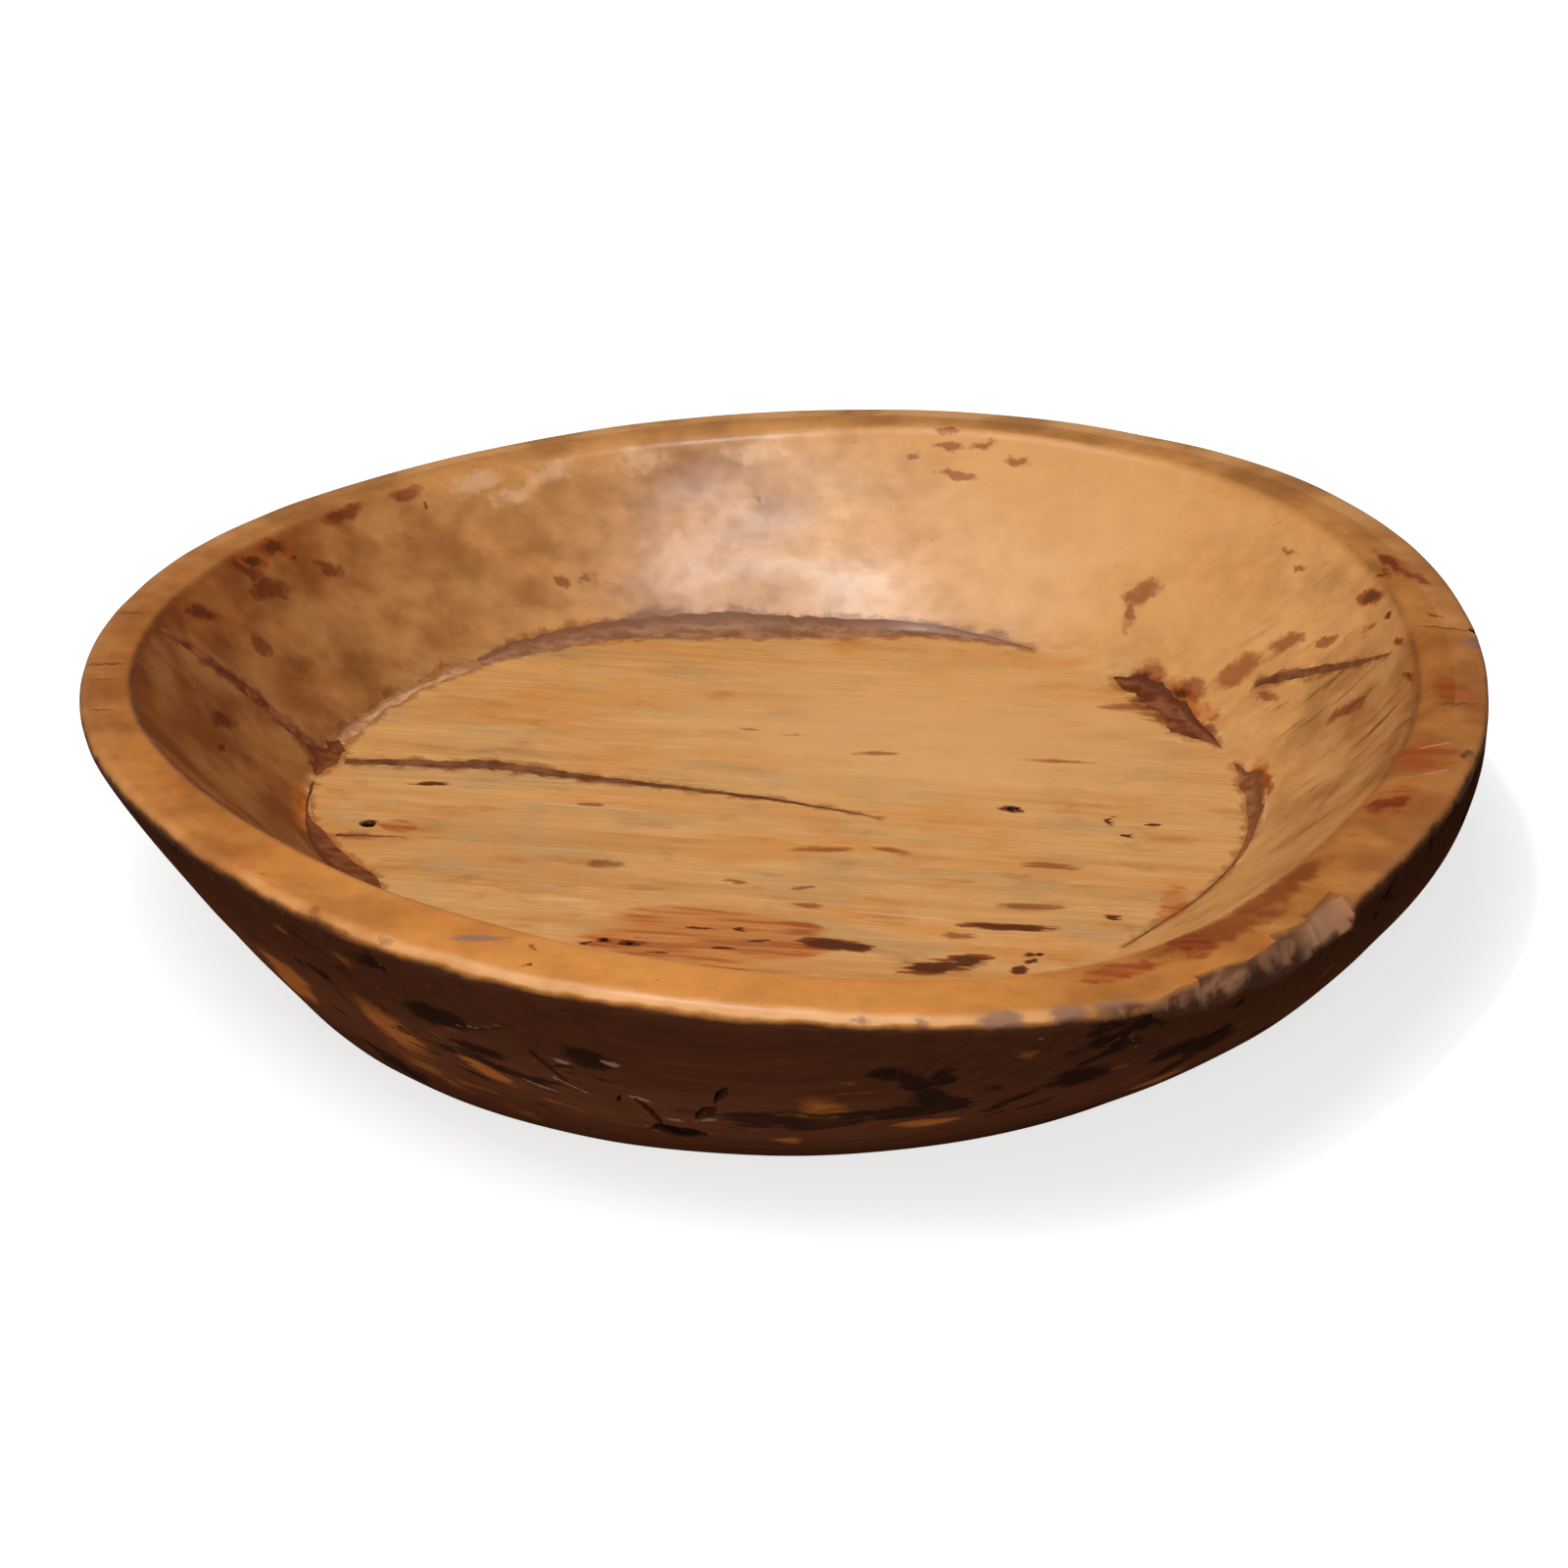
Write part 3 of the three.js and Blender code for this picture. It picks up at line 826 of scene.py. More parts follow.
def search_tree(pieces):
    """Tree for finding the nearest place on a few pieces, in metres."""
    corners, sides = [], []
    for piece in pieces:
        first = len(corners)
        corners += [vert.co.copy() for vert in piece.data.vertices]
        sides += [[first + index for index in face.vertices] for face in piece.data.polygons]
    return BVHTree.FromPolygons(corners, sides)


uncut_skin = search_tree([bowl])
cutters = splits + holes + chops + seats
take_away(bowl, cutters)
for cutter in cutters:
    bpy.data.objects.remove(cutter)
print("the cut block has", len(bowl.data.polygons), "faces and", len(bowl.data.vertices), "points")

# %% [markdown]
# ## Soft and hard edges
# Carved skin looks smooth but splits and chops stay crisp. Smooth shading alone would smear the
# light over every cut edge, so edges above a set angle are marked sharp.

# %% Shade the pieces
CRISP_ANGLE = 34


def shade(piece):
    piece.data.shade_smooth()
    piece.data.set_sharp_from_angle(angle=math.radians(CRISP_ANGLE))


for piece in [bowl, *fills.values()]:
    shade(piece)

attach(bowl, "root")
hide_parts("bowl_body")
for name, piece in fills.items():
    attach(piece, "root")
    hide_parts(name)
print("pieces stand for", 1 + len(fills), "solids of the frame")

# %% [markdown]
# ## Where the skin is
# The wood changes with its place: golden on the floor, darker brown on the left end wall,
# paler on the rear wall, deepened by hands on the rim, stained beside every fill and nearly
# black outside. Painting that on an unwrapped image would need seams. Instead every point keeps
# a few numbers for the material to read. The tones run from -1, browned, to 1, bleached, and are
# set round the bowl every 30 degrees, as is the strength of the dark streaks on the end walls.

# %% Measure the skin
RIM_FADE = 7
TONE_FADE = 2
FOOT_TONE = around([-0.3, 0.1, 0.5, -0.4, -0.42, -0.55, -0.78, -0.74, -0.4, 0, 0, -0.2])
WALL_TONE = around([-0.6, 0.02, 0.8, -0.32, -0.32, -0.78, -0.82, -0.82, -0.5, 0, 0, -0.45])
RIM_TONE = around([-0.52, -0.42, -0.36, -0.38, -0.42, -0.5, -0.52, -0.46, -0.26, 0, -0.38, -0.52])
PALE_FLOOR = {"tone": 1.0, "middle": (60, 75), "reach": (110, 60)}
WALL_STREAKS = around([1, 0.15, 0, 0, 0, 0.1, 0.4, 0.4, 0.1, 0, 0, 0.5])
LIP_DIRT = around([0.8, 0.4, 0, 0, 0, 0.3, 0.9, 0.8, 0.15, 0, 0, 0.4])
LIP_WIDTH = 1.6
DARK_REAR = 3.4
CLEAN_REAR = 0.75
CHOPPED_RIM = (-67, -36)
# The end facet of the chopped rim is painted lighter, as lit, from these bearings on.
LIT_BREAK_BEARINGS = (-46, -42)
CLEAN_CRACK = 1.4
WALL_START = 0.05
TONE_START = (0.01, 0.2)
LIP_START = 0.6
CUT_DEPTHS = (0.15, 0.7)

seams = search_tree(piece for name, piece in fills.items() if name not in cracks)
crevices = search_tree(piece for name, piece in fills.items() if name in cracks)


def ease(value, low, high):
    share = np.clip((value - low) / (high - low), 0, 1)
    return share * share * (3 - 2 * share)


def distances(tree, points):
    """Millimetres from each point to the nearest place of a search tree."""
    return np.array([tree.find_nearest(Vector(p))[3] for p in points]) / MM


def measure_skin(piece):
    """Numbers that the wood's material reads at every point."""
    flat = np.empty(len(piece.data.vertices) * 3, np.float32)
    piece.data.vertices.foreach_get("co", flat)
    points = flat.reshape(-1, 3)
    x, y, z = points.T.astype(float) / MM
    bearing, radius = np.degrees(np.arctan2(y, x)), np.hypot(x, y)
    top = rim_top(bearing)
    height = np.clip((z - FLOOR_HEIGHT) / (top - FLOOR_HEIGHT), 0, 1)
    inside = np.hypot(*inner_wall(bearing, height)[:, :2].T)
    outside = np.hypot(*outer_wall(bearing, np.clip(z / (top - RIM_ROUND), 0, 1))[:, :2].T)
    is_out = (radius > (inside + outside) / 2) | (z < FLOOR_HEIGHT - 2 * SEAM_DEPTH)
    inward = rim_outer(bearing) - radius
    on_rim = ease(radius, rim_inner(bearing) - RIM_FADE, rim_inner(bearing) + RIM_FADE / 2)
    on_rim *= 1 - ease(top - z, RIM_FADE / 2, 2 * RIM_FADE)
    over_edge = ease(radius, rim_inner(bearing) - TONE_FADE, rim_inner(bearing) + TONE_FADE)
    up_wall = ease(height, *TONE_START)
    wall_tone = FOOT_TONE(bearing) * (1 - height) + WALL_TONE(bearing) * height
    off_floor = ease(height, 0, WALL_START)
    wall_tone *= np.where(wall_tone < 0, off_floor, up_wall)
    away = (np.column_stack([x, y]) - PALE_FLOOR["middle"]) / PALE_FLOOR["reach"]
    floor_tone = PALE_FLOOR["tone"] * np.exp(-(away**2).sum(1)) * (1 - off_floor)
    lip = np.exp(-(((radius - rim_inner(bearing)) / LIP_WIDTH) ** 2)) * (height > LIP_START) * ~is_out
    cut = ease(distances(uncut_skin, points), *CUT_DEPTHS)
    chopped = (bearing > CHOPPED_RIM[0]) & (bearing < CHOPPED_RIM[1]) & (radius > rim_inner(bearing))
    beside_crack = distances(crevices, points) + CLEAN_CRACK
    past_rim = np.where(is_out, top - z - np.clip(inward, 0, OUTER_ROUND(bearing)), -inward)
    return {
        "past_rim": past_rim + DARK_REAR * rearward(bearing),
        "on_rim": on_rim * (1 - CLEAN_REAR * rearward(bearing)),
        "tone": floor_tone + wall_tone * (1 - over_edge) + RIM_TONE(bearing) * over_edge,
        "lip": lip * np.clip(LIP_DIRT(bearing), 0, 1),
        "streaked": np.clip(WALL_STREAKS(bearing), 0, 1) * up_wall * (1 - over_edge),
        "chopped": cut * chopped,
        "lit_break": cut * chopped * ease(bearing, *LIT_BREAK_BEARINGS),
        "hollow": cut * ~chopped,
        "beside_fill": np.minimum(distances(seams, points), beside_crack),
    }


skin = measure_skin(bowl)
for name, values in skin.items():
    layer = bowl.data.attributes.new(name, "FLOAT", "POINT")
    layer.data.foreach_set("value", values.astype(np.float32))
    print(name, "runs from", round(values.min(), 2), "to", round(values.max(), 2))

# %% [markdown]
# ## A few words for materials
# A material is a graph of small boxes. What runs from one box to the next is called a strand
# here. Adding, taking away or multiplying strands makes the box that does it, so a recipe reads
# like plain sums. The other boxes that come up again get a name each: a noise, a number between
# two limits, a mix of two colours.

# %% Strands and boxes
class Strand:
    """Number, colour or place on its way from one box of a graph to the next."""

    def __init__(self, socket):
        self.socket = socket
        self.tree = socket.id_data

    def __add__(self, other):
        return add(self.tree, "Math", {0: self, 1: other}, operation="ADD")

    def __sub__(self, other):
        return add(self.tree, "Math", {0: self, 1: other}, operation="SUBTRACT")

    def __mul__(self, other):
        return add(self.tree, "Math", {0: self, 1: other}, operation="MULTIPLY")

    def __abs__(self):
        return add(self.tree, "Math", {0: self}, operation="ABSOLUTE")


def new_material(name):
    material = bpy.data.materials.new(name)
    material.use_nodes = True
    material.node_tree.nodes.clear()
    return material, material.node_tree


def add(tree, kind, inputs, out=0, **settings):
    """New box, its settings made and its inputs set or linked; gives the strand it sends out."""
    box = tree.nodes.new("ShaderNode" + kind)
    for name, value in settings.items():
        setattr(box, name, value)
    for key, value in inputs.items():
        if isinstance(value, Strand):
            tree.links.new(value.socket, box.inputs[key])
        else:
            box.inputs[key].default_value = value
    return Strand(box.outputs[out]) if box.outputs else None


print("a strand can be added, taken away, multiplied and made positive")

# %% Boxes that come up again
def kept(tree, name):
    """Number that the mesh keeps at its points."""
    return add(tree, "Attribute", {}, "Fac", attribute_name=name)


def larger(a, b):
    return add(a.tree, "Math", {0: a, 1: b}, operation="MAXIMUM")


def stretched(place, per_metre):
    return add(place.tree, "VectorMath", {0: place, 1: per_metre}, operation="MULTIPLY")


def grainy(place, per_metre, detail=3.0, rough=0.5, warp=0.0, out="Fac"):
    """Noise with its own number of waves per metre along each axis."""
    scaled = stretched(place, per_metre)
    values = {"Vector": scaled, "Scale": 1.0, "Detail": detail, "Roughness": rough, "Distortion": warp}
    return add(place.tree, "TexNoise", values, out)


def between(value, low, high, to_low=0.0, to_high=1.0):
    """Smooth step of a value from one limit to the other."""
    limits = {"Value": value, "From Min": low, "From Max": high, "To Min": to_low, "To Max": to_high}
    return add(value.tree, "MapRange", limits, interpolation_type="SMOOTHSTEP")


def mixed(share, a, b, how="MIX"):
    """Mix of two colours."""
    a, b = (colour if isinstance(colour, Strand) else (*colour, 1) for colour in (a, b))
    return add(share.tree, "Mix", {0: share, 6: a, 7: b}, 2, data_type="RGBA", blend_type=how)


def shaded(colour, factor):
    return add(colour.tree, "VectorMath", {0: colour, "Scale": factor}, operation="SCALE")


def finish_material(colour, roughness, height, depth, gloss, coat=0.0):
    """Shader with bump; depth is the bump's height in mm, gloss sets plain shader values."""
    tree = colour.tree
    bump = add(tree, "Bump", {"Height": height, "Distance": depth * MM, "Strength": 1.0})
    look = {"Base Color": colour, "Roughness": roughness, "Normal": bump, "Coat Weight": coat}
    shader = add(tree, "BsdfPrincipled", {**look, **gloss})
    add(tree, "OutputMaterial", {"Surface": shader})


print("materials are built from", len([kept, larger, grainy, between, mixed, shaded]), "kinds of box")

# %% [markdown]
# ## Wood: the clean grain
# The grain runs nearly along X through the whole block, so the pattern is a solid one: noises
# drawn out along the grain, without any unwrapping. Old waxed wood is soft to the eye: broad
# grey, orange and pale clouds lie over faint streaks, fine hair lines and a few dark pores.

# %% Noises of the wood
GRAIN_TURN = 7
WALL_GRAIN = 0.3
FLOOR_FADE = (2, 8)
STREAK_WAVES = (5, 95, 60)
FIBRE_WAVES = (24, 520, 300)
CLOUD_WAVES = (16, 40, 34)
PORE_WAVES = (60, 1250, 700)
GRIME_WAVES = (30, 80, 60)
MOTTLE_WAVES = (30, 34, 34)
BLOT_WAVES = (95, 110, 110)
SPECK_WAVES = (150, 330, 330)


def grain_place(tree):
    """Place in the block, as it is and turned so that X follows the grain."""
    place = add(tree, "TexCoord", {}, "Object")
    turn = (0, 0, math.radians(GRAIN_TURN))
    return place, add(tree, "Mapping", {"Vector": place, "Rotation": turn})


wood, tree = new_material("waxed_hewn_wood")
place, along = grain_place(tree)
level = add(tree, "SeparateXYZ", {0: place}, "Z")
fade_start, fade_end = ((FLOOR_HEIGHT + step) * MM for step in FLOOR_FADE)
floor_share = between(level, fade_start, fade_end, 1, 0)
grain_share = between(floor_share, 0, 1, WALL_GRAIN, 1)
off_floor = between(floor_share, 0, 1, 1, 0)
streaks = grainy(along, STREAK_WAVES, 4, 0.6, 0.3)
streaks = (streaks - 0.5) * grain_share + 0.5
fibres = grainy(along, FIBRE_WAVES, 4, 0.6)
clouds = grainy(along, CLOUD_WAVES, 5, 0.6, 0.4, "Color")
grey_cloud = add(tree, "SeparateColor", {"Color": clouds}, "Red")
orange_cloud = add(tree, "SeparateColor", {"Color": clouds}, "Green")
pores = grainy(along, PORE_WAVES, 2, 0.5)
grime = grainy(along, GRIME_WAVES, 5, 0.6, 0.2)
mottle = grainy(place, MOTTLE_WAVES, 3, 0.5)
blot = grainy(place, BLOT_WAVES, 4, 0.62)
specks = grainy(along, SPECK_WAVES, 3, 0.6)
tone = kept(tree, "tone")
on_rim = kept(tree, "on_rim")
print("the wood's noises take", len(tree.nodes), "boxes")

# %% Colours of the grain
DEEP_WOOD = (0.545, 0.246, 0.070)
HONEY_WOOD = (0.625, 0.306, 0.098)
GOLD_WOOD = (0.675, 0.352, 0.122)
GREY_WOOD = (0.485, 0.272, 0.108)
ORANGE_WOOD = (0.62, 0.250, 0.058)
GRIME = (0.72, 0.58, 0.44)
WALL_CLOUD = (0.66, 0.58, 0.46)
HAIR_LINE = (0.78, 0.49, 0.23)
PORE = (0.30, 0.11, 0.03)
SPECK = (0.50, 0.34, 0.22)

colour = mixed(between(streaks, 0.3, 0.5), DEEP_WOOD, HONEY_WOOD)
colour = mixed(between(streaks, 0.48, 0.7), colour, GOLD_WOOD)
colour = mixed(between(grey_cloud, 0.46, 0.66, 0, 0.85) * grain_share, colour, GREY_WOOD)
colour = mixed(between(orange_cloud, 0.47, 0.66, 0, 0.8) * grain_share, colour, ORANGE_WOOD)
colour = mixed(between(grime, 0.52, 0.72, 0, 0.65) * floor_share, colour, GRIME, "MULTIPLY")
in_shade = between(tone, 0.6, -0.8, 0.2, 1) * between(on_rim, 0, 1, 1, 0.35) * off_floor
clouded = between(mottle, 0.44, 0.68, 0, 0.6) * in_shade
colour = mixed(clouded, colour, WALL_CLOUD, "MULTIPLY")
fibred = between(fibres, 0.3, 0.7, -0.07, 0.05) * grain_share
dappled = between(blot, 0.3, 0.7, -0.07, 0.07) * off_floor
colour = shaded(colour, fibred + dappled + 1.0)
near_line = between(abs(streaks - 0.5), 0.010, 0.002) * (floor_share * 0.3)
colour = mixed(near_line, colour, HAIR_LINE)
colour = mixed(between(pores, 0.68, 0.8, 0, 0.6) * floor_share, colour, PORE)
colour = mixed(between(specks, 0.66, 0.76, 0, 0.55) * off_floor, colour, SPECK, "MULTIPLY")
print("colours bring the graph to", len(tree.nodes), "boxes")

# %% Tone of the walls and the rim
HANDLED = (0.92, 0.73, 0.49)
BROWNED = (0.33, 0.185, 0.105)
BLEACHED = (0.72, 0.385, 0.142)
WALL_STREAK = (0.42, 0.30, 0.22)
LIP_GREY = (0.42, 0.36, 0.30)
DASH_WAVES = (34, 300, 20)

cloudy_tone = tone + between(mottle, 0.3, 0.7, 0.13, -0.13)
colour = mixed(on_rim, colour, HANDLED, "MULTIPLY")
colour = mixed(between(cloudy_tone, 0.0, -1.0), colour, BROWNED, "MULTIPLY")
colour = mixed(between(cloudy_tone, 0.0, 0.95, 0, 0.75), colour, BLEACHED)
dashes = grainy(along, DASH_WAVES, 4, 0.6, 0.5)
dashed = between(dashes, 0.56, 0.68) * kept(tree, "streaked")
dashed *= between(grey_cloud, 0.38, 0.6, 0.1, 1.0)
colour = mixed(dashed, colour, WALL_STREAK, "MULTIPLY")
lip = kept(tree, "lip") * between(blot, 0.35, 0.55, 0.4, 1.0)
colour = mixed(lip, colour, LIP_GREY, "MULTIPLY")
print("tones bring the graph to", len(tree.nodes), "boxes")

# %% [markdown]
# ## Wood: marks of use
# Juice, iron, heat and damp have left stains. Each is a slim ellipsoid in the block, given by its
# two ends and half its width: on the floor as x and y in mm, elsewhere as bearing and share of
# the wall or the rim. All marks of a kind share one wandering edge, frayed along the grain.

# %% Places of the marks
FLOOR_BURNS = [
    ((-175, -1), (-165, -2), 3.8), ((-158, 32), (-136, 31), 2), ((86, 12), (100, 9), 3.2),
    ((131, -4), (138, 6), 1.6), ((147, -2), (155, -3), 2.6), ((136, -11), (142, -12), 1.6),
    ((62, -80), (114, -85), 3.6), ((1, -92), (36, -98), 7), ((18, -96), (38, -99), 5),
    ((40, -114), (76, -110), 8.5), ((58, -109), (82, -107), 7), ((91, -103), (100, -103), 2.6),
    ((92, -108), (99, -108), 2.8), ((86, -118), (96, -111), 3.6), ((125, -76), (133, -76), 3),
    ((-79, -94), (-72, -95), 2.6), ((-74, -92), (-66, -93), 2.6), ((-67, -95), (-53, -95), 2.8),
    ((-44, -82), (-24, -84), 1.2), ((-34, -97), (-14, -98), 1.2), ((-20, -84), (-12, -85), 2),
    ((-62, -90), (-50, -91), 1.1), ((-58, -101), (-42, -102), 1.1), ((-16, -92), (0, -93), 1.1),
]
WALL_BURNS = [
    ((151.5, 0.97), (145, 0.9), 6), ((148, 0.86), (146, 0.8), 2.4),
    ((165.8, 0.99), (158.8, 0.72), 5.5), ((164.2, 0.94), (160.4, 0.79), 6),
    ((154, 0.97), (149.5, 0.86), 4.5), ((129.5, 0.95), (130.8, 0.79), 1.3),
    ((170.2, 0.95), (171.8, 0.71), 1.5), ((18.4, 0.81), (14.4, 0.99), 6),
    ((13, 0.91), (11.2, 0.94), 2.8), ((8.5, 0.88), (6.2, 0.94), 2.8),
    ((3.1, 0.87), (359, 0.98), 2.4), ((1.5, 0.96), (-8, 0.96), 2), ((181, 0.5), (176, 0.4), 3),
    ((38.2, 0.06), (36, 0.075), 3.4), ((33, 0.05), (28.6, 0.1), 4.5),
    ((169.4, 0.94), (170.4, 1.0), 2.4),
]
RIM_BURNS = [
    ((248.3, 0.68), (249.2, 0.65), 2.4), ((236, 0.98), (238, 0.9), 4),
    ((345.5, 0.97), (347.5, 0.78), 4.5), ((19, 0.02), (16.4, 0.1), 4),
]
FLOOR_SMEARS = [
    ((-19, 79), (-10, 78), 1.6), ((-2, 74), (13, 73), 1.6), ((26, 58), (50, 57), 2.2),
    ((94, 53), (138, 48), 2.2), ((-89, 14), (-74, 14), 2.4), ((-81, -33), (-62, -36), 4.2),
    ((0, -22), (32, -23), 3.4), ((90, -33), (123, -38), 4), ((59, -88), (78, -90), 3.4),
    ((34, -20), (54, -27), 3), ((-26, -45), (-14, -50), 2.2), ((-1, -53), (16, -52), 2),
    ((1, -65), (21, -67), 2), ((80, -66), (114, -68), 4.4), ((132, 100), (166, 97), 5),
    ((142, 108), (170, 102), 6), ((146, 94), (180, 84), 7), ((158, 86), (190, 70), 6.5),
]
WALL_SMEARS = [
    ((76.6, 0.85), (74, 0.84), 2.2), ((74, 0.89), (69, 0.9), 2.6), ((74, 0.975), (70, 0.98), 2.4),
    ((69.4, 0.905), (65.4, 0.93), 2.8), ((65.4, 0.86), (61.4, 0.85), 3.2),
    ((73.6, 0.765), (66.6, 0.75), 2.6), ((120, 0.33), (117.2, 0.28), 3.8),
    ((117.2, 0.28), (113.4, 0.33), 3.8), ((134, 0.96), (129.2, 0.95), 5),
    ((160, 0.58), (156.8, 0.51), 7), ((45.6, 0.29), (41.6, 0.49), 6.5),
    ((46.4, 0.32), (43.5, 0.36), 4.5), ((44.6, 0.34), (43.2, 0.18), 4),
    ((28, 0.12), (23.2, 0.41), 9), ((24.4, 0.4), (20.6, 0.58), 5), ((22, 0.24), (16.6, 0.3), 4),
    ((8.4, 0.37), (4.2, 0.7), 4.8), ((14.2, 0.74), (12.7, 0.86), 3),
    ((93.8, 0.65), (92.6, 0.59), 2), ((19, 0.55), (16.5, 0.68), 3), ((155, 0.8), (149, 0.7), 7),
    ((176, 0.55), (171, 0.4), 6), ((40, 0.05), (33.5, 0.09), 9), ((34, 0.07), (26, 0.13), 7),
    ((10, 0.1), (2, 0.08), 5), ((154.5, 0.98), (151, 0.8), 6), ((145.5, 0.78), (142.5, 0.62), 5),
    ((31.5, 0.79), (28.5, 0.82), 2.2), ((28.6, 0.74), (26.4, 0.8), 1.8),
    ((142, 0.94), (136, 0.97), 5),
]
RIM_SMEARS = [
    ((228.6, 1.0), (231.6, 0.94), 5), ((22.5, 0.15), (17, 0.4), 3.4),
    ((18, 0.35), (13.5, 0.8), 3.2), ((21, 0.5), (16, 0.2), 2.4), ((335, 0.04), (339, 0.6), 6),
    ((299, 0.3), (320, 0.42), 12), ((309, 0.2), (328, 0.25), 10),
    ((247.6, 0.35), (248.8, 0.3), 2.8), ((10, 0.3), (8.5, 0.6), 2.4),
]
FLOOR_RUST = [
    ((-82, -88), (22, -93), 28), ((146, -63), (162, -65), 16), ((-168, -3), (-146, -6), 7),
]
RIM_RUST = [
    ((343, 0.0), (348, 0.7), 15), ((294, 0.33), (303, 0.35), 7), ((304.5, 0.1), (309, 0.4), 12),
    ((334.5, 0.0), (340, 0.75), 13), ((22.5, 0.2), (14, 0.7), 6), ((359.5, 0.08), (353.5, 0.95), 9),
]
WALL_RUST = [((12, 0.1), (1, 0.05), 6), ((185, 0.05), (171, 0.05), 5), ((38, 0.05), (20, 0.08), 6)]
RIM_GREYS = [
    ((240.2, 0.62), (246.4, 0.2), 2.2), ((3, 0.8), (6, 0.9), 4), ((274, 0.97), (278, 0.99), 4),
    ((279, 0.98), (282.4, 0.97), 5), ((283.6, 0.96), (289.4, 0.98), 7.5),
    ((289.6, 0.97), (294.4, 0.95), 7.5), ((294.2, 0.97), (298.4, 0.94), 6.5),
    ((266, 0.99), (270, 0.98), 3),
]
FLOOR_PALES = [
    ((18, -69), (74, -79), 1.2), ((-120, 18), (-40, 6), 1.2), ((-110, -60), (-60, -64), 1),
]
# Painted glints: pale lines along the right seam and the left corner.
WALL_GLINTS = [((6, 0.09), (-4, 0.07), 1.6), ((172, 0.015), (186, 0.015), 1.4)]
# Painted sheen: pale patches high on the rear wall.
WALL_SHEEN_PATCHES = [
    ((128, 0.9), (120, 0.93), 7), ((120, 0.86), (112, 0.92), 7), ((110, 0.9), (102, 0.86), 9),
    ((98, 0.86), (88, 0.88), 9), ((124, 0.8), (117, 0.82), 6),
]
RIM_PALES = [((346, 0.1), (349, 0.8), 0.6), ((341, 0.2), (344.5, 0.9), 0.6)]
print(len(FLOOR_BURNS + WALL_BURNS + FLOOR_SMEARS + WALL_SMEARS), "dark and brown marks inside")

# %% Fields of the marks
FRAY = 0.24
LOOSE = {"per_metre": (75, 230, 180), "reach": (18, 5, 5)}
BLOTTED = {"per_metre": (110, 150, 150), "reach": (10, 9, 9)}
SURFACES = {
    "wall": lambda place: on_side(inner_wall, *place, 0)[0],
    "rim": lambda place: on_side(rim_face, *place, 0)[0],
    "outside": lambda place: on_side(outer_wall, *place, 0)[0],
    "floor": lambda place: np.array([*place, FLOOR_HEIGHT], float),
}


def mark_field(place, **marks):
    """Share of the nearest mark: 1 in its middle, 0 at its edge and beyond."""
    field = None
    for surface, rows in marks.items():
        for start, end, half_width in rows:
            start, end = (Vector(SURFACES[surface](corner)) * MM for corner in (start, end))
            values = {
                "Vector": place,
                "Location": (start + end) / 2,
                "Rotation": (end - start).to_track_quat("X", "Z").to_euler(),
                "Scale": ((end - start).length / 2, half_width * MM, half_width * MM),
            }
            own = add(place.tree, "Mapping", values, vector_type="TEXTURE")
            spot = add(own.tree, "TexGradient", {"Vector": own}, "Fac", gradient_type="SPHERICAL")
            field = spot if field is None else larger(field, spot)
    return field


def wandering(place, along, per_metre, reach):
    """Place moved a little by a noise, so that whatever is drawn there gets uneven edges."""
    drift = grainy(along, per_metre, 4, 0.65, out="Color")
    centred = add(drift.tree, "VectorMath", {0: drift, 1: (0.5, 0.5, 0.5)}, operation="SUBTRACT")
    moved = stretched(centred, tuple(r * MM for r in reach))
    return add(place.tree, "VectorMath", {0: place, 1: moved}, operation="ADD")


def frayed(field, uneven, low, high, most):
    """Strength of a mark whose edge follows a noise."""
    fray = between(uneven, 0.3, 0.7, -FRAY, FRAY) * between(field, 0, FRAY)
    return between(field + fray, low, high, 0, most)


loose = wandering(place, along, **LOOSE)
blotted = wandering(place, along, **BLOTTED)
burn_field = mark_field(loose, floor=FLOOR_BURNS)
smear_field = mark_field(loose, floor=FLOOR_SMEARS)
rust_field = mark_field(loose, floor=FLOOR_RUST, wall=WALL_RUST)
wall_burn_field = mark_field(blotted, wall=WALL_BURNS, rim=RIM_BURNS)
wall_smear_field = mark_field(blotted, wall=WALL_SMEARS, rim=RIM_SMEARS)
rim_rust_field = mark_field(blotted, rim=RIM_RUST)
grey_field = mark_field(loose, rim=RIM_GREYS)
sheen_patch_field = mark_field(blotted, wall=WALL_SHEEN_PATCHES)
pale_field = mark_field(place, floor=FLOOR_PALES, wall=WALL_GLINTS, rim=RIM_PALES)
print("fields bring the graph to", len(tree.nodes), "boxes")

# %% Lay the marks over the grain
RUST = (0.50, 0.118, 0.010)
RIM_STAIN = (0.32, 0.060, 0.010)
SMEAR = (0.45, 0.25, 0.18)
SCORCH = (0.25, 0.056, 0.010)
BURN = (0.075, 0.014, 0.004)
PAINTED_SHEEN = (0.74, 0.47, 0.28)
BRUISE = (0.24, 0.125, 0.085)
SCRATCH_AND_GLINT = (0.80, 0.56, 0.40)
FILL_STAIN = (0.50, 0.32, 0.20)
STAIN_REACH = 3.6
STAIN_WAVER = 2.4
BAND_WAVES = (14, 190, 120)

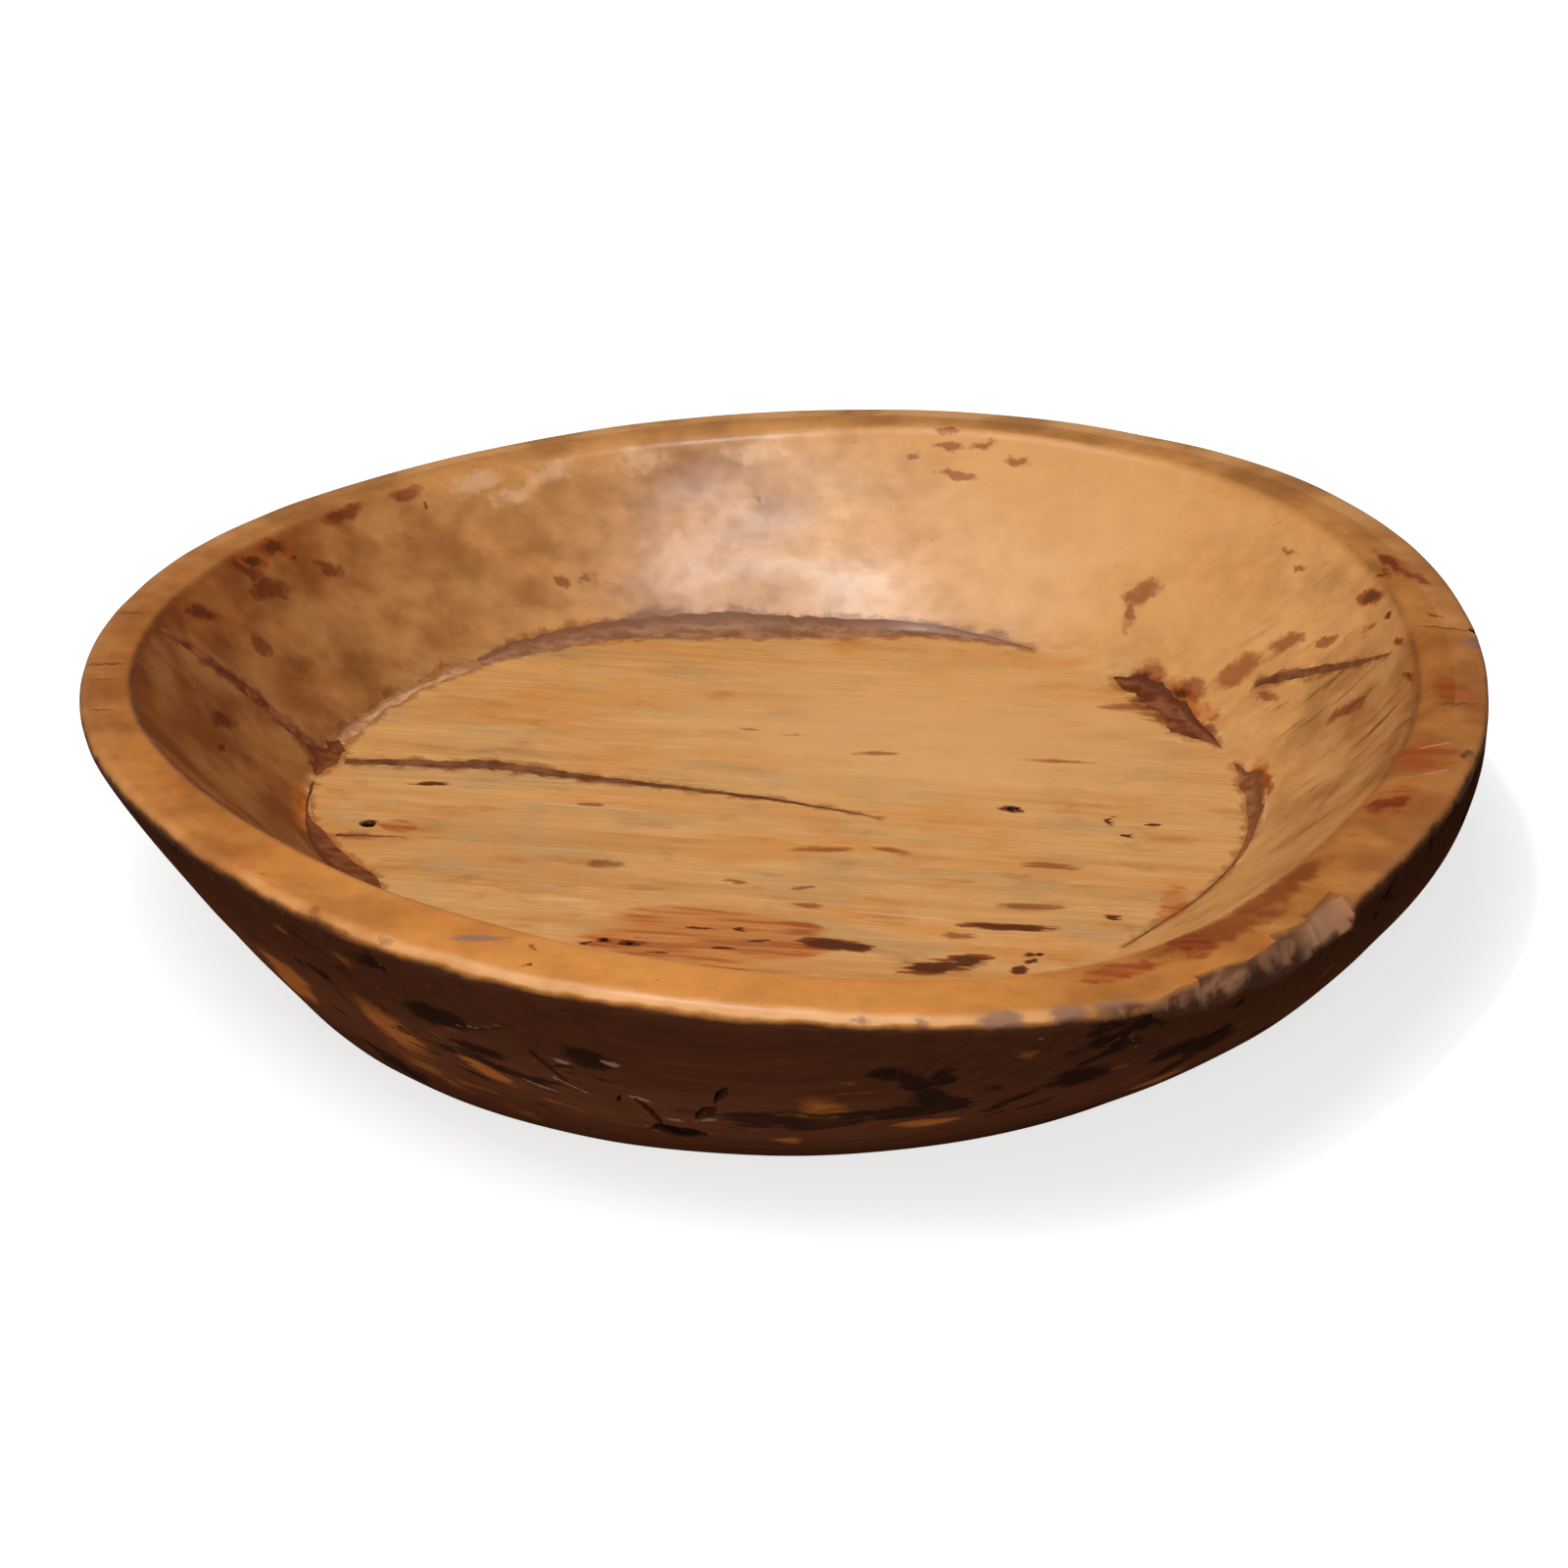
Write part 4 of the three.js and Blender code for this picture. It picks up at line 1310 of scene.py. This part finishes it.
bands = grainy(along, BAND_WAVES, 4, 0.6)
rusty = frayed(rust_field, streaks, 0.0, 0.3, 0.85) * between(rust_field, 0.15, 0.5, 1.0, 0.75)
rusty *= between(bands, 0.36, 0.6, 0.6, 1.0)
rim_stained = frayed(rim_rust_field, blot, 0.02, 0.5, 0.9) * between(bands, 0.36, 0.58, 0.4, 1.0)
smeared = frayed(smear_field, fibres, 0.1, 0.6, 0.85)
smeared = larger(smeared, frayed(wall_smear_field, blot, 0.0, 0.62, 0.85))
burnt = frayed(burn_field, fibres, 0.16, 0.4, 0.95)
burnt = larger(burnt, frayed(wall_burn_field, blot, 0.06, 0.45, 0.88))
grey = frayed(grey_field, blot, 0.0, 0.6, 0.85)
# Pale marks: real scratches on the floor and rim, painted glints on the wall.
pale = frayed(pale_field, fibres, 0.15, 0.5, 0.28)
# Painted sheen high on the rear wall.
sheen_patched = frayed(sheen_patch_field, blot, 0.0, 0.9, 0.45)
burn_heart = larger(burn_field, wall_burn_field * 0.8)
burn_colour = mixed(between(burn_heart, 0.25, 0.6), SCORCH, BURN)
beside = kept(tree, "beside_fill") + between(blot, 0.3, 0.7, -STAIN_WAVER, STAIN_WAVER)
colour = mixed(between(beside, STAIN_REACH, 0.0, 0, 0.7), colour, FILL_STAIN, "MULTIPLY")
rust_streaks = larger(rusty, rim_stained) * between(bands, 0.51, 0.6, 0, 0.85)
for share, tint in ((sheen_patched, PAINTED_SHEEN), (rusty, RUST), (rim_stained, RIM_STAIN)):
    colour = mixed(share, colour, tint)
colour = mixed(smeared, colour, SMEAR, "MULTIPLY")
for share, tint in ((rust_streaks, SCORCH), (burnt, burn_colour), (pale, SCRATCH_AND_GLINT)):
    colour = mixed(share, colour, tint)
print("with the marks the graph has", len(tree.nodes), "boxes")

# %% Broken wood with painted light and shade, and hollows with painted shade
BREAK_GREY = (0.10, 0.042, 0.024)
BREAK_MID = (0.27, 0.125, 0.066)
BREAK_LIT = (0.58, 0.285, 0.155)
BREAK_SHADE = (0.055, 0.020, 0.010)
HOLLOW_DIRT_AND_SHADE = (0.020, 0.008, 0.006)
SPLINTER_WAVES = (85, 85, 55)
BREAK_WAVER = 4.0
BREAK_DEPTH = 8.0

splinters = grainy(place, SPLINTER_WAVES, 4, 0.6, 0.4)
past = kept(tree, "past_rim")
chopped = kept(tree, "chopped")
hollow = kept(tree, "hollow")
# The chopped faces are painted darker lower down, as shade, and the end facet lighter, as lit.
broken = mixed(between(splinters, 0.4, 0.6), BREAK_GREY, BREAK_MID)
break_shade_depth = past + between(splinters, 0.3, 0.7, BREAK_WAVER, -BREAK_WAVER)
broken = mixed(between(break_shade_depth, 0.0, BREAK_DEPTH, 0, 0.95), broken, BREAK_SHADE)
broken = mixed(kept(tree, "lit_break") * 0.75, broken, BREAK_LIT)
print("broken wood brings the graph to", len(tree.nodes), "boxes")

# %% [markdown]
# ## Wood: the dark outside
# The outside was never scraped clean: bark-dark patina with black blotches, worn through to
# honey colour in places. It starts just under the rim's rounded edge, which hands have rubbed
# pale and which also carries a painted highlight. The patina is dry, so it is a second
# material on the same mesh, with hardly any gloss. Just under the rim it is painted darker, as
# shade, and towards the foot lighter, as painted light.
# Both materials share the patina's recipe, so no border shows where they meet.

# %% Patina of the outside
PATINA = (0.090, 0.0275, 0.0115)
SOOT = (0.022, 0.009, 0.0058)
WORN_PATINA = (0.29, 0.088, 0.019)
OLD_SCRATCH = (0.26, 0.15, 0.09)
WORN_MARKS = [
    ((231, 0.75), (237, 0.3), 20), ((240, 0.55), (246, 0.35), 12), ((222, 0.6), (216, 0.3), 20),
    ((272.8, 0.72), (273.6, 0.36), 15), ((277, 0.42), (287, 0.44), 7),
    ((229, 0.93), (235.5, 0.82), 9), ((286.5, 0.9), (291.5, 0.84), 6),
    ((268.5, 0.28), (272.5, 0.26), 9), ((222, 0.9), (228.5, 0.86), 8), ((300, 0.3), (310, 0.4), 8),
    ((200, 0.5), (190, 0.4), 24), ((120, 0.5), (100, 0.6), 26), ((60, 0.4), (40, 0.6), 22),
    ((330, 0.5), (345, 0.4), 16),
]
SOOTY_MARKS = [
    ((276, 0.78), (280, 0.8), 8), ((280.5, 0.77), (284.5, 0.77), 9), ((290, 0.7), (299, 0.64), 13),
    ((276.8, 0.52), (283, 0.53), 8), ((277.5, 0.86), (283.5, 0.64), 9),
    ((250, 0.75), (258, 0.7), 9), ((235, 0.74), (246, 0.76), 12), ((239, 0.62), (248, 0.58), 8),
    ((300, 0.75), (312, 0.6), 12), ((84, 0.6), (70, 0.7), 18), ((150, 0.5), (140, 0.6), 18),
]
PALE_RIDGES = [
    ((256.4, 0.54), (259.2, 0.5), 1.8), ((259.4, 0.38), (262, 0.39), 1.8),
    ((257, 0.3), (259, 0.22), 2.2), ((262.2, 0.38), (264.8, 0.47), 1.7),
    ((249.8, 0.58), (252.8, 0.46), 1.4), ((250.4, 0.68), (253, 0.66), 1.3),
    ((246, 0.47), (250.4, 0.42), 1.5), ((255, 0.73), (257, 0.71), 2.2),
    ((242, 0.72), (247, 0.8), 1.2),
]
UNWORN_RUN = (8.0, 32.0)
# Run over which the painted shade under the rim turns into painted light towards the foot.
PAINTED_SHADE_RUN = (10.0, 70.0)
PAINTED_SHADE_AND_LIGHT = (0.6, 1.2)
RAGGED_EDGE = 1.4
EDGE_RUN = (0.0, 4.5)
BLOTCH_WAVES = (16, 46, 46)
SCRATCH_WAVES = (24, 300, 300)
RAGGED_WAVES = (40, 80, 80)


def patina_of(loose, along, fibres, past):
    """Colour of the dark outside, with painted shade under the rim, and its blotches."""
    blotches = grainy(along, BLOTCH_WAVES, 5, 0.62, 0.4)
    worn = mark_field(loose, outside=WORN_MARKS) + between(blotches, 0.46, 0.74, -0.18, 0.38)
    worn += between(past, *UNWORN_RUN, -0.35, 0)
    sooty = mark_field(loose, outside=SOOTY_MARKS) + between(blotches, 0.5, 0.3, -0.1, 0.6)
    patina = mixed(between(worn, 0.08, 0.55), PATINA, WORN_PATINA)
    patina = mixed(between(sooty, 0.15, 0.5, 0, 0.9), patina, SOOT)
    patina = shaded(patina, between(fibres, 0.25, 0.75, 0.82, 1.18))
    # Painted shade: the patina is darker just under the rim; painted light: lighter towards the foot.
    patina = shaded(patina, between(past, *PAINTED_SHADE_RUN, *PAINTED_SHADE_AND_LIGHT))
    scratched = between(grainy(along, SCRATCH_WAVES, 3, 0.6, 0.8), 0.69, 0.75, 0, 0.5)
    ridges = frayed(mark_field(loose, outside=PALE_RIDGES), fibres, 0.05, 0.5, 0.7)
    return mixed(larger(scratched, ridges), patina, OLD_SCRATCH), blotches


ragged = grainy(along, RAGGED_WAVES, 4, 0.55)
edge = past + between(ragged, 0.25, 0.75, -RAGGED_EDGE, RAGGED_EDGE)
outside = between(edge, *EDGE_RUN)
patina, _ = patina_of(loose, along, fibres, past)
print("patina brings the graph to", len(tree.nodes), "boxes")

# %% Rubbed edge with a painted highlight
RUBBED_AND_HIGHLIT = (0.78, 0.45, 0.22)
RUBBED_HIGHLIGHT_RUN = (-7.0, -1.5)
RUBBED_HIGHLIGHT_END = 2.0

# The pale band on the rim's outer edge is partly wear and partly a painted highlight of the rounded
# edge.
rubbed_and_highlit = between(edge, *RUBBED_HIGHLIGHT_RUN) * between(edge, RUBBED_HIGHLIGHT_END, 0.0)
in_front = between(cloudy_tone, -0.5, 0.1, 0.1, 0.75)
colour = mixed(rubbed_and_highlit * in_front, colour, RUBBED_AND_HIGHLIT)
colour = mixed(grey, colour, BRUISE)
colour = mixed(outside, colour, patina)
colour = mixed(chopped * 0.9, colour, broken)
# Deep in splits, holes and the knot the wood is painted nearly black, partly dirt and partly painted
# shade.
colour = mixed(hollow, colour, HOLLOW_DIRT_AND_SHADE)
print("the rim is rubbed from", -RUBBED_HIGHLIGHT_RUN[0], "mm inside its edge to", RUBBED_HIGHLIGHT_END, "mm past it")

# %% Gloss and relief of the wood
WOOD_BUMP = 0.18
WAX_COAT = 0.45
WAXED = {"Coat Roughness": 0.24, "Specular IOR Level": 0.08}

dull = between(grey_cloud, 0.3, 0.7, 0.42, 0.52) + between(fibres, 0.3, 0.7, 0.05, 0.0)
dull += between(edge, -4.0, -0.5, 0, 0.4)
height = fibres * 0.5 + streaks * 0.5 + between(pores, 0.66, 0.78, 0.0, -0.4) + burnt * -0.4
height = height * grain_share + chopped * splinters * 2.0
waxed = between(edge, -4.0, 0.0, WAX_COAT, 0.0) * between(chopped, 0, 1, 1, 0)
waxed *= between(tone, -0.9, 0.0, 0.35, 1.0)
waxed *= between(on_rim, 0, 1, 1.0, 0.5)
waxed *= between(burnt, 0, 0.6, 1.0, 0.2)
waxed *= between(blot, 0.36, 0.6, 0.75, 1.1)
finish_material(colour, dull, height, WOOD_BUMP, WAXED, waxed)
print("the wood's graph has", len(tree.nodes), "boxes")

# %% Dry material of the outside
BARK_FIBRES = (20, 560, 190)
PATINA_BUMP = 0.9
DRY = {"Specular IOR Level": 0.0}
DRY_FROM = 4.5
UNCHOPPED = 0.02

bark, tree = new_material("dark_patina")
place, along = grain_place(tree)
loose = wandering(place, along, **LOOSE)
fibres = grainy(along, BARK_FIBRES, 4, 0.6)
colour, blotches = patina_of(loose, along, fibres, kept(tree, "past_rim"))
# The same dirt and painted shade in the hollows of the outside.
colour = mixed(kept(tree, "hollow"), colour, HOLLOW_DIRT_AND_SHADE)
dull = between(blotches, 0.3, 0.7, 0.62, 0.5)
height = blotches + fibres * 0.35
finish_material(colour, dull, height, PATINA_BUMP, DRY)

bowl.data.materials.clear()
bowl.data.materials.append(wood)
bowl.data.materials.append(bark)
dry = (skin["past_rim"] > DRY_FROM) & (skin["chopped"] < UNCHOPPED)
for face in bowl.data.polygons:
    face.material_index = int(dry[list(face.vertices)].all())
print("the outside's graph has", len(tree.nodes), "boxes")

# %% [markdown]
# ## The fillers
# The mends are of different ages. Dark filler is red-brown, filler in the cracks has gone grey
# brown, the thin bead has dried pale, and the wax in the corner is shiny, with dirt along its
# upper edge. One recipe with other colours serves them all.

# %% Filler materials
FILLER_BUMP = 0.1
FILLER_CLOUDS = (90, 140, 140)
FILLER_SPECKS = (420, 700, 700)
FILLER_ROUGHNESS = (0.34, 0.52)
FILLER_GLOSS = {"Coat Roughness": 0.18, "Specular IOR Level": 0.1}


def filler(name, dark, light, dirt, coat):
    """Cloudy filler that has gathered dirt along its upper edge."""
    material, tree = new_material(name)
    _, along = grain_place(tree)
    cloudy = grainy(along, FILLER_CLOUDS, 4, 0.6)
    specks = grainy(along, FILLER_SPECKS, 2, 0.5)
    colour = mixed(between(cloudy, 0.36, 0.64), dark, light)
    edge = kept(tree, "across") + between(cloudy, 0.3, 0.7, -0.2, 0.2)
    colour = mixed(between(edge, 0.7, 0.95, 0, 0.7), colour, dirt)
    colour = mixed(between(specks, 0.6, 0.75, 0, 0.4), colour, dirt)
    dull = between(cloudy, 0.3, 0.7, *FILLER_ROUGHNESS)
    height = cloudy + specks * 0.3
    finish_material(colour, dull, height, FILLER_BUMP, FILLER_GLOSS, coat)
    return material


FILLERS = {
    "dark_filler": ((0.12, 0.028, 0.007), (0.22, 0.066, 0.021), (0.08, 0.02, 0.006), 0.04),
    "old_filler": ((0.11, 0.026, 0.008), (0.25, 0.08, 0.031), (0.07, 0.017, 0.006), 0.08),
    "crack_filler": ((0.12, 0.037, 0.012), (0.23, 0.084, 0.03), (0.08, 0.023, 0.008), 0.05),
    "pale_filler": ((0.36, 0.165, 0.07), (0.60, 0.33, 0.17), (0.26, 0.10, 0.036), 0.05),
    "rear_wax": ((0.24, 0.095, 0.040), (0.38, 0.180, 0.095), (0.15, 0.05, 0.018), 0.12),
    "brown_wax": ((0.18, 0.055, 0.017), (0.33, 0.130, 0.047), (0.12, 0.036, 0.012), 0.05),
}
FILLER_OF = {
    "left_corner_fill": "dark_filler",
    "end_wall_crack_fill": "old_filler",
    "short_floor_crack_fill": "dark_filler",
    "right_rear_corner_fill": "old_filler",
    "floor_crack_fill": "crack_filler",
    "right_wall_crack_fill": "crack_filler",
    "rear_left_seam_fill": "pale_filler",
    "rear_seam_fill": "rear_wax",
    "right_seam_fill": "brown_wax",
    "front_left_seam_fill": "dark_filler",
}
finishes = {name: filler(name, *values) for name, values in FILLERS.items()}
for name, piece in fills.items():
    piece.data.materials.append(finishes[FILLER_OF[name]])
print("fillers:", ", ".join(finishes))

# %% [markdown]
# ## Floor and light
# The bowl stands on plain white paper under a large soft lamp, high up and a little to the front
# left. Two smaller ones above the front make the sheen on the rear wall and the bright spot in
# it, one in front lights the outside, and a pale sky fills the shadows.
# The paper is lifted to white only for the eye, more so far away, where the lamp fades, so it
# throws no extra light on the bowl and keeps its shadow.

# %% White paper
PAPER_HALF = 30.0
PAPER = 0.75
NEAR_LIFT = 0.7
FAR_LIFT = 1.0
LIFT_RUN = (0.35, 1.0)

paper_mesh = bpy.data.meshes.new("paper")
corners = [(-1, -1), (1, -1), (1, 1), (-1, 1)]
paper_mesh.from_pydata([(x * PAPER_HALF, y * PAPER_HALF, 0) for x, y in corners], [], [(0, 1, 2, 3)])
paper = bpy.data.objects.new("paper", paper_mesh)
bpy.context.scene.collection.objects.link(paper)

paper_material, tree = new_material("white_paper")
seen = add(tree, "LightPath", {}, "Is Camera Ray")
for ray in ("Is Glossy Ray", "Is Transmission Ray"):
    seen = larger(seen, add(tree, "LightPath", {}, ray))
place = add(tree, "TexCoord", {}, "Object")
away = add(tree, "VectorMath", {0: place}, "Value", operation="LENGTH")
lift = seen * between(away, *LIFT_RUN, NEAR_LIFT, FAR_LIFT)
sheet = add(tree, "BsdfDiffuse", {"Color": (PAPER, PAPER, PAPER, 1)})
glow = add(tree, "Emission", {"Strength": lift})
add(tree, "OutputMaterial", {"Surface": add(tree, "AddShader", {0: sheet, 1: glow})})
paper_mesh.materials.append(paper_material)
print("paper is", 2 * PAPER_HALF, "m square")

# %% Lamps and sky
SKY = 0.15


def lamp(name, place, aim, size, power, colour=(1, 1, 1)):
    light = bpy.data.lights.new(name, "AREA")
    light.size = size
    light.energy = power
    light.color = colour
    holder = bpy.data.objects.new(name, light)
    holder.location = Vector(place)
    holder.rotation_euler = (Vector(aim) - Vector(place)).to_track_quat("-Z", "Y").to_euler()
    bpy.context.scene.collection.objects.link(holder)


lamp("soft_key", (-0.28, -0.32, 1.25), (0, 0, 0.05), 0.9, 10.2)
lamp("sheen", (-0.07, -0.34, 1.08), (0, 0, 0.05), 0.25, 0.5)
lamp("small_glint", (-0.055, -0.27, 1.10), (0, 0, 0.05), 0.07, 2.9)
lamp("front_fill", (-0.5, -1.7, 0.6), (0, 0, 0.05), 0.7, 8)

sky = bpy.data.worlds.new("pale_sky")
sky.use_nodes = True
sky.node_tree.nodes["Background"].inputs["Color"].default_value = (1, 1, 1, 1)
sky.node_tree.nodes["Background"].inputs["Strength"].default_value = SKY
bpy.context.scene.world = sky
bpy.context.scene.view_settings.view_transform = "Standard"
print("four lamps and a sky of strength", SKY)
